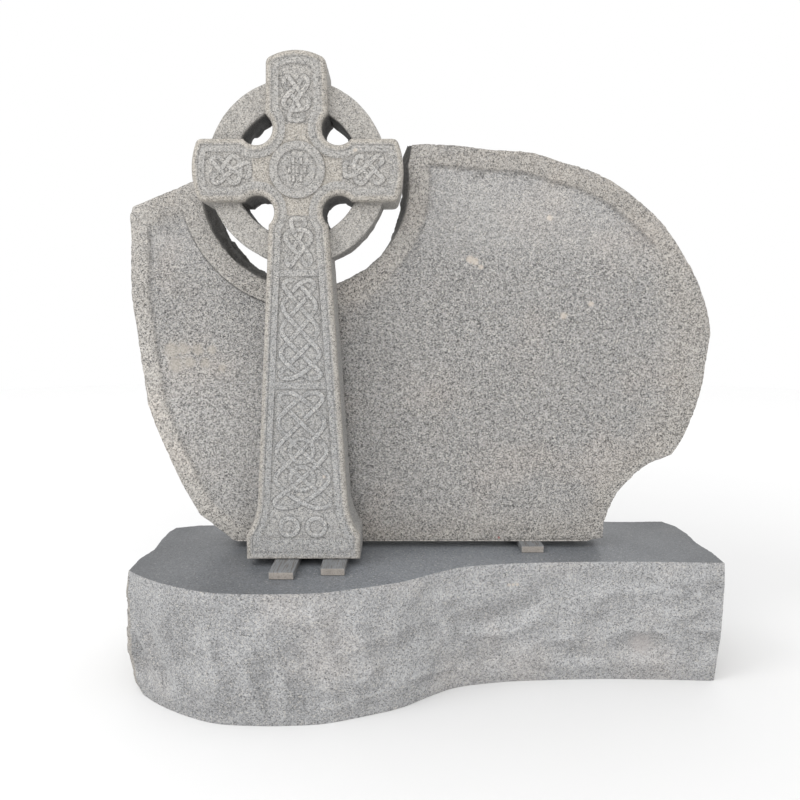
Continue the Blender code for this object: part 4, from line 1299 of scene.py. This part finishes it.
def knot_curves(scene):
    """Middle lines of all the ribbons on the face, each a closed line."""
    s, c = scene.headstone_cross, scene.headstone_carving
    boss = s.boss_rise
    arm = arm_panel(scene, s.arm_reach - s.arm_bulge / 2, s.arm_half)
    top = arm_panel(scene, s.top_reach - s.top_bulge, s.top_half)
    down = arm_panel(scene, boss - c.upper_divider - c.divider / 2 + c.inner_band,
                     s.arm_half - s.neck_spread)

    def knot(panel):
        return closed_curve([panel(along, across) for along, across in ARM_KNOT], 8)

    curves = [[(side * x, boss + side * z) for x, z in knot(arm)] for side in (-1, 1)]
    curves.append([(x, boss + z) for z, x in knot(top)])
    curves.append([(x, boss - z) for z, x in knot(down)])
    curves.append(plait(*LONG_PLAIT, shaft_panel(scene, c.lower_divider + c.divider / 2,
                                                 c.upper_divider - c.divider / 2)))
    bottom = shaft_panel(scene, c.foot_panel, c.lower_divider - c.divider / 2)
    curves.append(plait(*LONG_PLAIT, bottom))
    for turn in SHAFT_RING_TURNS:
        along = 0.5 + 0.5 * wave(math.tau * turn / LONG_PLAIT[1])
        curves.append(arc(bottom(along, 0.0), c.shaft_ring, 0.0, math.tau, 60)[:-1])
    for side in (-1, 1):
        centre = (side * c.foot_ring_x, c.foot_ring_rise)
        curves.append(arc(centre, c.foot_ring, 0.0, math.tau, 48)[:-1])
    return [even_steps(line, CARVING_STEP) for line in curves]


def even_steps(line, step):
    """The closed line again, with points a nearly even step apart."""
    points = np.array(line + line[:1])
    gaps = np.hypot(*np.diff(points, axis=0).T)
    reached = np.concatenate([[0.0], np.cumsum(gaps)])
    count = max(8, round(reached[-1] / step))
    where = np.arange(count) * reached[-1] / count
    return np.column_stack([np.interp(where, reached, points[:, k]) for k in (0, 1)])


def crossings(curves):
    """Where the ribbons cross: (curve, place along, curve, place along)."""
    found = []
    for a, one in enumerate(curves):
        r = np.roll(one, -1, axis=0) - one
        for b in range(a, len(curves)):
            other = curves[b]
            if (one.min(axis=0) > other.max(axis=0)).any():
                continue
            if (other.min(axis=0) > one.max(axis=0)).any():
                continue
            w = np.roll(other, -1, axis=0) - other
            for i, (p, along) in enumerate(zip(one, r)):
                area = along[0] * w[:, 1] - along[1] * w[:, 0]
                area = np.where(np.abs(area) < 1e-12, np.inf, area)
                gap = other - p
                t = (gap[:, 0] * w[:, 1] - gap[:, 1] * w[:, 0]) / area
                u = (gap[:, 0] * along[1] - gap[:, 1] * along[0]) / area
                hits = np.nonzero((t >= 0) & (t < 1) & (u >= 0) & (u < 1))[0]
                for j in hits:
                    apart = abs(i - j)
                    if a == b and (j <= i + 1 or apart == len(other) - 1):
                        continue
                    found.append((a, i + t[j], b, j + u[j]))
    return found


def weave_heights(scene, curves):
    """Relief of each ribbon's top at its points: over one, under the next."""
    c = scene.headstone_carving
    passes = [[] for _ in curves]
    for number, (a, s, b, t) in enumerate(crossings(curves)):
        passes[a].append((s, number))
        passes[b].append((t, number))
    levels = {}
    heights = []
    for line, found in zip(curves, passes):
        found.sort()
        start = 1
        for turn, (_, number) in enumerate(found):
            if number in levels:
                start = -levels[number] * (-1) ** turn
                break
        own = [start * (-1) ** turn for turn in range(len(found))]
        for (_, number), level in zip(found, own):
            levels.setdefault(number, level)
        count = len(line)
        if not found:
            heights.append(np.full(count, c.ribbon_high))
            continue
        stations = [found[-1][0] - count] + [where for where, _ in found]
        stations.append(found[0][0] + count)
        level = np.interp(np.arange(count), stations, own[-1:] + own + own[:1])
        share = (np.clip(WEAVE_STEEPNESS * level, -1, 1) + 1) / 2
        heights.append(c.ribbon_low + (c.ribbon_high - c.ribbon_low) * share)
    return heights


# The cross: face

def stroke_centres(scene):
    """Middles of the shallow upright strokes in rows inside the boss."""
    c = scene.headstone_carving
    centres = []
    for row, count in enumerate(STROKE_ROWS):
        height = (scene.headstone_cross.boss_rise
                  + (row - (len(STROKE_ROWS) - 1) / 2) * c.stroke_row_pitch)
        centres += [((k - (count - 1) / 2) * c.stroke_pitch, height) for k in range(count)]
    return centres


def ribbon_section(off, half):
    """Share of a ribbon's full height at a distance from its middle line."""
    return np.clip(1 - (off / half) ** 8, 0.0, 1.0) ** 0.5 * (1 - 0.08 * (off / half) ** 2)


def face_relief(scene, points, curves, heights):
    """Height of the carved face, its painted shade in recesses, its warmth and its painted
    highlight on raised carving.
    """
    s, c = scene.headstone_cross, scene.headstone_carving
    outline = np.array([(x, z if z > 0.0 else -1.0) for x, z in cross_outline(s, 0.0)])
    depth = distance_to_loop(points, outline)
    edge_rise = foot_line(s, s.edge_round)
    rise = points[:, 1]
    foot = np.where(rise < edge_rise, rise / FOOT_EDGE_SHARE,
                    s.edge_round + (rise - edge_rise) / FOOT_LINE_SHARE)
    inset = np.minimum(depth, foot)
    half_line = c.line / 2
    relief = -c.band_step * ramp(inset, c.outer_band - half_line, c.outer_band + half_line)
    groove = np.clip(1 - np.abs(inset - c.outer_band) / c.line, 0, 1)
    relief -= 0.0010 * groove
    floor = -c.band_step - c.field_step
    field = ramp(inset, c.inner_band - half_line, c.inner_band + half_line)
    for height in (c.upper_divider, c.lower_divider):
        off = np.abs(points[:, 1] - height)
        field = np.minimum(field, ramp(off, c.divider / 2, c.divider / 2 + c.line))
    relief = relief - c.field_step * field
    edge_of_field = np.clip(1 - np.abs(inset - c.inner_band - c.line) / (1.6 * c.line), 0, 1)

    half = c.ribbon / 2
    lift = np.zeros(len(points))
    nearest = np.full(len(points), np.inf)
    for line, tops in zip(curves, heights):
        following = np.roll(line, -1, axis=0)
        for start, end, low, high in zip(line, following, tops, np.roll(tops, -1)):
            close = np.nonzero(np.abs(points - (start + end) / 2).max(axis=1) < 0.02)[0]
            if not len(close):
                continue
            off, share = distance_to_edge(points[close], start, end)
            top = low + (high - low) * share
            lift[close] = np.maximum(lift[close], top * ribbon_section(off, half))
            nearest[close] = np.minimum(nearest[close], np.abs(off - half))
    relief = np.where(field > 0, np.maximum(relief, floor + lift), relief)

    radius = np.hypot(points[:, 0], points[:, 1] - s.boss_rise)
    dish = 1 - ramp(radius, c.boss_inner - c.line, c.boss_inner)
    boss = c.boss_stand - c.boss_dish * dish
    stroke = np.zeros(len(points))
    stroke_gap = np.full(len(points), np.inf)
    for x, z in stroke_centres(scene):
        off = np.maximum(np.abs(points[:, 0] - x) - c.stroke_width / 2,
                         np.abs(points[:, 1] - z) - c.stroke_length / 2)
        stroke = np.maximum(stroke, 1 - ramp(off, -half_line, 0.0))
        stroke_gap = np.minimum(stroke_gap, np.maximum(off, 0.0))
    boss = boss + c.stroke_relief * stroke
    inside = 1 - ramp(radius, c.boss_outer, c.boss_outer + c.line)
    relief = relief + (boss - relief) * inside

    beside = np.clip(1 - nearest / 0.0022, 0, 1) * field
    low_there = np.clip(1 - lift / 0.0016, 0, 1)
    rings = np.maximum(np.clip(1 - np.abs(radius - c.boss_inner + c.line) / 0.0025, 0, 1),
                       np.clip(1 - np.abs(radius - c.boss_outer - c.line) / 0.0025, 0, 1))
    near_stroke = np.clip(stroke_gap / 0.0024, 0, 1)
    # Painted shade beside low ribbons, in the grooves, at the field's edge, by the boss rings
    # and round the strokes
    grime = np.maximum.reduce([0.72 * beside * low_there, 0.38 * groove, 0.36 * edge_of_field])
    grime = np.maximum.reduce([grime * (1 - inside), 0.42 * rings,
                               0.62 * (1 - near_stroke) * (stroke < 0.5)])
    bare = np.where(radius < c.knot_start, 0.9, 0.12) * field * (lift <= 0)
    warmth = np.maximum(1 - ramp(inset, s.edge_round - 0.004, c.outer_band),
                        bare) * (1 - inside)
    # Painted highlight on the raised ribbons and strokes
    crest = np.maximum(ramp(lift, 0.3 * c.ribbon_low, c.ribbon_high) * field * (1 - inside),
                       stroke * inside)
    return relief, grime, warmth, crest


def face_lines(scene, counts, curves):
    """Closed lines that the face's facets follow: steps, ribbons, boss."""
    s, c = scene.headstone_cross, scene.headstone_carving
    lines = [cut_edges(cross_outline(s, s.edge_round), counts)]
    for band in (c.outer_band, c.inner_band):
        for shift in (-0.5, 0.0, 0.5):
            lines.append(np.array(cross_outline(s, band + shift * c.line)))
    for height in (c.upper_divider, c.lower_divider):
        half = field_half(scene, height) + c.line / 2
        lines += [rectangle(0.0, height, half, c.divider / 2 + extra)
                  for extra in (0.0, c.line)]
    centre = (0.0, s.boss_rise)
    for radius in (c.boss_outer + c.line, c.boss_outer + c.line / 2, c.boss_outer,
                   c.boss_inner, c.boss_inner - c.line / 2, c.boss_inner - c.line):
        lines.append(np.array(arc(centre, radius, 0.0, math.tau, 96)[:-1]))
    for x, z in stroke_centres(scene):
        lines += [rectangle(x, z, c.stroke_width / 2 - less, c.stroke_length / 2 - less)
                  for less in (0.0, c.line / 2)]
    for line in curves:
        normals = outward(line)
        for share in (1.0, 0.94, 0.80, 0.45):
            for side in (-1, 1):
                lines.append(line + side * share * c.ribbon / 2 * normals)
    return lines


def build_cross(scene):
    """The ring cross: woven relief, rounded worn edges, wheel, plain back."""
    s = scene.headstone_cross
    foot, front = stone_foot(scene), cross_front(scene)
    counts = edge_counts(cross_outline(s, 0.0), ROCK_STEP)
    curves = knot_curves(scene)
    heights = weave_heights(scene, curves)
    lines = face_lines(scene, counts, curves)
    places, triangles, rim = face_of(lines, field_of_points(lines[0], CARVING_STEP))
    relief, grime, warmth, crest = face_relief(scene, places, curves, heights)
    pecks = np.array([0.00022 * swelling((x, 0.0, z), 0.006, 2.0) for x, z in places])
    relief = relief + pecks
    relief[rim] = 0.0
    body = Body("grime", "warmth", "crest")
    body.add(np.column_stack([s.x + places[:, 0], front - relief, foot + places[:, 1]]),
             grime=grime, warmth=warmth, crest=crest)
    body.cover([tuple(t) for t in triangles], 0)

    below = rim
    back = front + s.thickness
    levels = []
    for step in range(1, 6):
        turn = math.pi / 2 * step / 5
        levels.append((s.edge_round * (1 - math.sin(turn)),
                       front + s.edge_round * (1 - math.cos(turn)), 0.25))
    for y in np.linspace(front + s.edge_round, back - s.edge_round / 2, 18)[1:]:
        levels.append((0.0, y, 1.0))
    levels += [(s.edge_round / 5, back - s.edge_round / 6, 1.6), (s.edge_round / 2, back, 1.0)]
    hollow = in_armpit(s, cut_edges(cross_outline(s, 0.0), counts))
    for inset, y, uneven in levels:
        loop = cut_edges(cross_outline(s, inset), counts)
        ring = []
        behind = ramp(y, front + 0.4 * s.thickness, back)
        for (x, z), (nx, nz), hidden in zip(loop, outward(loop), hollow):
            place = (x, y, z)
            out = uneven * (0.0007 * swelling(place, 0.03, 3.0)
                            + 0.0004 * swelling(place, 0.009, 8.0))
            out += hidden * behind * 0.005 * min(0.2, flakes(place, 0.030, 4.0))
            standing = 0.0 if z < 0.004 else out
            ring.append((s.x + x + nx * standing, y, foot + z + nz * standing))
        # Painted shade on the armpits' walls behind the rounded front edge, none on the back
        shade = 0.0 if y >= back else 1.1 * ramp(
            y, front + 0.5 * s.edge_round, front + 2.2 * s.edge_round)
        current = body.add(ring, warmth=0.8 if y < front + 2 * s.edge_round else 0.2,
                           grime=shade * hollow)
        body.bridge(below, current, 0)
        below = current
    body.cover([below], 0)
    add_wheel(scene, body)
    return body.made("cross_stone", [cross_granite(scene.headstone_colours)])


def in_armpit(s, loop):
    """1 at the outline's points on the armpit circles, 0 away from them."""
    offset = pit_offset(s)
    away = [np.hypot(loop[:, 0] - side * offset, loop[:, 1] - s.boss_rise - up * offset)
            for side in (-1, 1) for up in (-1, 1)]
    return 1 - ramp(np.min(away, axis=0), s.pit_radius + 0.002, s.pit_radius + 0.016)


def add_wheel(scene, body):
    """The ring through the arms, with worn front edges and a rough back edge."""
    s = scene.headstone_cross
    front = cross_front(scene) + s.wheel_recess
    back = cross_front(scene) + s.thickness - s.wheel_back
    edge = s.wheel_edge
    corner = 0.35 * edge
    depths = list(np.linspace(front + edge, back - 0.003, 12))
    across = list(np.linspace(s.wheel_inner + edge, s.wheel_outer - edge, 9))
    profile = [(s.wheel_outer, y) for y in depths]
    profile += [(s.wheel_outer - 0.002, back), (s.wheel_inner + 0.002, back)]
    profile += [(s.wheel_inner, y) for y in reversed(depths)]
    profile += [(s.wheel_inner + corner, front + corner)]
    profile += [(r, front) for r in across]
    profile += [(s.wheel_outer - corner, front + corner)]
    centre = (s.x + s.wheel_shift, boss_height(scene))
    middle = (s.wheel_inner + s.wheel_outer) / 2
    # Painted shade on the wheel's walls behind the worn front edge: dark in the holes, lighter
    # outside
    shades = [(1.1 if r < middle else 0.45) * ramp(y, front + edge, front + 5 * edge)
              for r, y in profile]
    warmths = [0.25 if y < front + 2 * edge else 0.1 for _, y in profile]
    sides = 220
    rings = []
    for k in range(sides):
        turn = math.tau * k / sides
        ring = []
        for r, y in profile:
            place = (r * math.cos(turn), y, r * math.sin(turn))
            behind = max(0.0, (y - front) / (back - front) - 0.45)
            uneven = swelling(place, 0.02, 4.0) + 0.8 * flakes(place, 0.03, 6.0)
            if r > middle:
                radius = r + (0.0005 + 0.0030 * behind) * uneven
            else:
                # The holes' back edges are broken away, mostly in their upper walls
                most = 0.7 * max(0.0, math.sin(turn))
                radius = r + (0.0005 + 0.0120 * behind) * max(-most, uneven)
            ring.append((centre[0] + radius * math.cos(turn), y,
                         centre[1] + radius * math.sin(turn)))
        rings.append(body.add(ring, warmth=warmths, grime=shades))
    for k in range(sides):
        body.bridge(rings[k], rings[(k + 1) % sides], 0)


# The stage

def build_stage(scene):
    """Pale floor, soft lights and the camera at the photograph's angle."""
    bpy.ops.mesh.primitive_circle_add(vertices=96, radius=9.0, fill_type='NGON')
    floor = bpy.context.active_object
    floor.name = "studio_floor"
    # Just under the stone, so that the two don't lie in one plane
    floor.location.z = -0.0005
    floor.data.materials.append(floor_finish(scene.headstone_colours))

    world = bpy.data.worlds.new("studio")
    world.use_nodes = True
    background = world.node_tree.nodes["Background"]
    background.inputs["Color"].default_value = (1.0, 1.0, 1.0, 1.0)
    background.inputs["Strength"].default_value = 1.0
    scene.world = world
    scene.view_settings.view_transform = 'Standard'

    def soft_light(name, place, target, width, height, watts):
        light = bpy.data.lights.new(name, 'AREA')
        light.shape = 'RECTANGLE'
        light.size = width
        light.size_y = height
        light.energy = watts
        made = bpy.data.objects.new(name, light)
        made.location = place
        aim = Vector(target) - Vector(place)
        made.rotation_euler = aim.to_track_quat('-Z', 'Y').to_euler()
        scene.collection.objects.link(made)

    soft_light("key", (-3.2, -2.0, 3.8), (-0.1, 0.0, 0.7), 2.0, 2.0, 55.0)
    # Its lower edge and right edge show as a soft sheen on the tablet's face
    soft_light("sheen", (-0.9, -4.0, 3.2), (-0.9, 0.0, 3.2), 5.6, 3.54, 95.0)

    # Lens, place and tilt as found from the photograph
    lens = bpy.data.cameras.new("photo_view")
    lens.sensor_width = 36.0
    lens.lens = 31.5
    lens.clip_start = 0.05
    camera = bpy.data.objects.new("photo_view", lens)
    camera.location = (-0.072, -1.67, 0.861)
    camera.rotation_euler = (math.radians(90.0 - 6.3), 0.0, 0.0)
    scene.collection.objects.link(camera)
    scene.camera = camera


# Operators, one for each piece or group of like pieces, and one for the stage

class HEADSTONE_OT_base(bpy.types.Operator):
    """Build the base block"""

    bl_idname = "headstone.base"
    bl_label = "Base"

    def execute(self, context):
        piece = build_base(context.scene)
        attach(piece, "root")
        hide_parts("base")
        return {'FINISHED'}


class HEADSTONE_OT_battens(bpy.types.Operator):
    """Build the three setting battens"""

    bl_idname = "headstone.battens"
    bl_label = "Battens"

    def execute(self, context):
        nodes = ("setting_batten_left", "setting_batten_right", "setting_batten_tablet")
        for piece, node in zip(build_battens(context.scene), nodes):
            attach(piece, "root")
            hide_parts(node)
        return {'FINISHED'}


class HEADSTONE_OT_tablet(bpy.types.Operator):
    """Build the tablet"""

    bl_idname = "headstone.tablet"
    bl_label = "Tablet"

    def execute(self, context):
        piece = build_tablet(context.scene)
        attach(piece, "root")
        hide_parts("tablet")
        return {'FINISHED'}


class HEADSTONE_OT_cross(bpy.types.Operator):
    """Build the ring cross"""

    bl_idname = "headstone.cross"
    bl_label = "Cross"

    def execute(self, context):
        piece = build_cross(context.scene)
        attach(piece, "root")
        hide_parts("cross")
        return {'FINISHED'}


class HEADSTONE_OT_stage(bpy.types.Operator):
    """Build the floor, the lights and the camera"""

    bl_idname = "headstone.stage"
    bl_label = "Stage"

    def execute(self, context):
        build_stage(context.scene)
        return {'FINISHED'}


class HEADSTONE_PT_panel(bpy.types.Panel):
    """Sizes, colours and buttons for the headstone"""

    bl_label = "Headstone"
    bl_idname = "HEADSTONE_PT_panel"
    bl_space_type = 'VIEW_3D'
    bl_region_type = 'UI'
    bl_category = "Headstone"

    def draw(self, context):
        layout = self.layout
        for operator in OPERATORS:
            layout.operator(operator.bl_idname)
        for name, (_, title) in GROUPS.items():
            box = layout.box()
            box.label(text=title)
            group = getattr(context.scene, name)
            for key in group.__annotations__:
                box.prop(group, key)


# Property groups by their name on the scene, each with its title in the panel
GROUPS = {
    "headstone_base": (HeadstoneBaseSizes, "Base and battens"),
    "headstone_tablet": (HeadstoneTabletSizes, "Tablet"),
    "headstone_cross": (HeadstoneCrossSizes, "Cross"),
    "headstone_carving": (HeadstoneCarvingSizes, "Carving"),
    "headstone_colours": (HeadstoneColours, "Colours"),
}
OPERATORS = (HEADSTONE_OT_base, HEADSTONE_OT_battens, HEADSTONE_OT_tablet,
             HEADSTONE_OT_cross, HEADSTONE_OT_stage)


def register():
    """Register the classes and the properties."""
    noise.seed_set(FLAKE_SEED)
    for group, _ in GROUPS.values():
        bpy.utils.register_class(group)
    for operator in OPERATORS:
        bpy.utils.register_class(operator)
    bpy.utils.register_class(HEADSTONE_PT_panel)
    for name, (group, _) in GROUPS.items():
        setattr(bpy.types.Scene, name, PointerProperty(type=group))


def unregister():
    """Remove the properties and the classes."""
    for name in GROUPS:
        delattr(bpy.types.Scene, name)
    bpy.utils.unregister_class(HEADSTONE_PT_panel)
    for operator in reversed(OPERATORS):
        bpy.utils.unregister_class(operator)
    for group, _ in reversed(list(GROUPS.values())):
        bpy.utils.unregister_class(group)


def main():
    """Build every piece and the stage."""
    register()
    bpy.ops.headstone.base()
    bpy.ops.headstone.battens()
    bpy.ops.headstone.tablet()
    bpy.ops.headstone.cross()
    bpy.ops.headstone.stage()


if __name__ == "__main__":
    main()
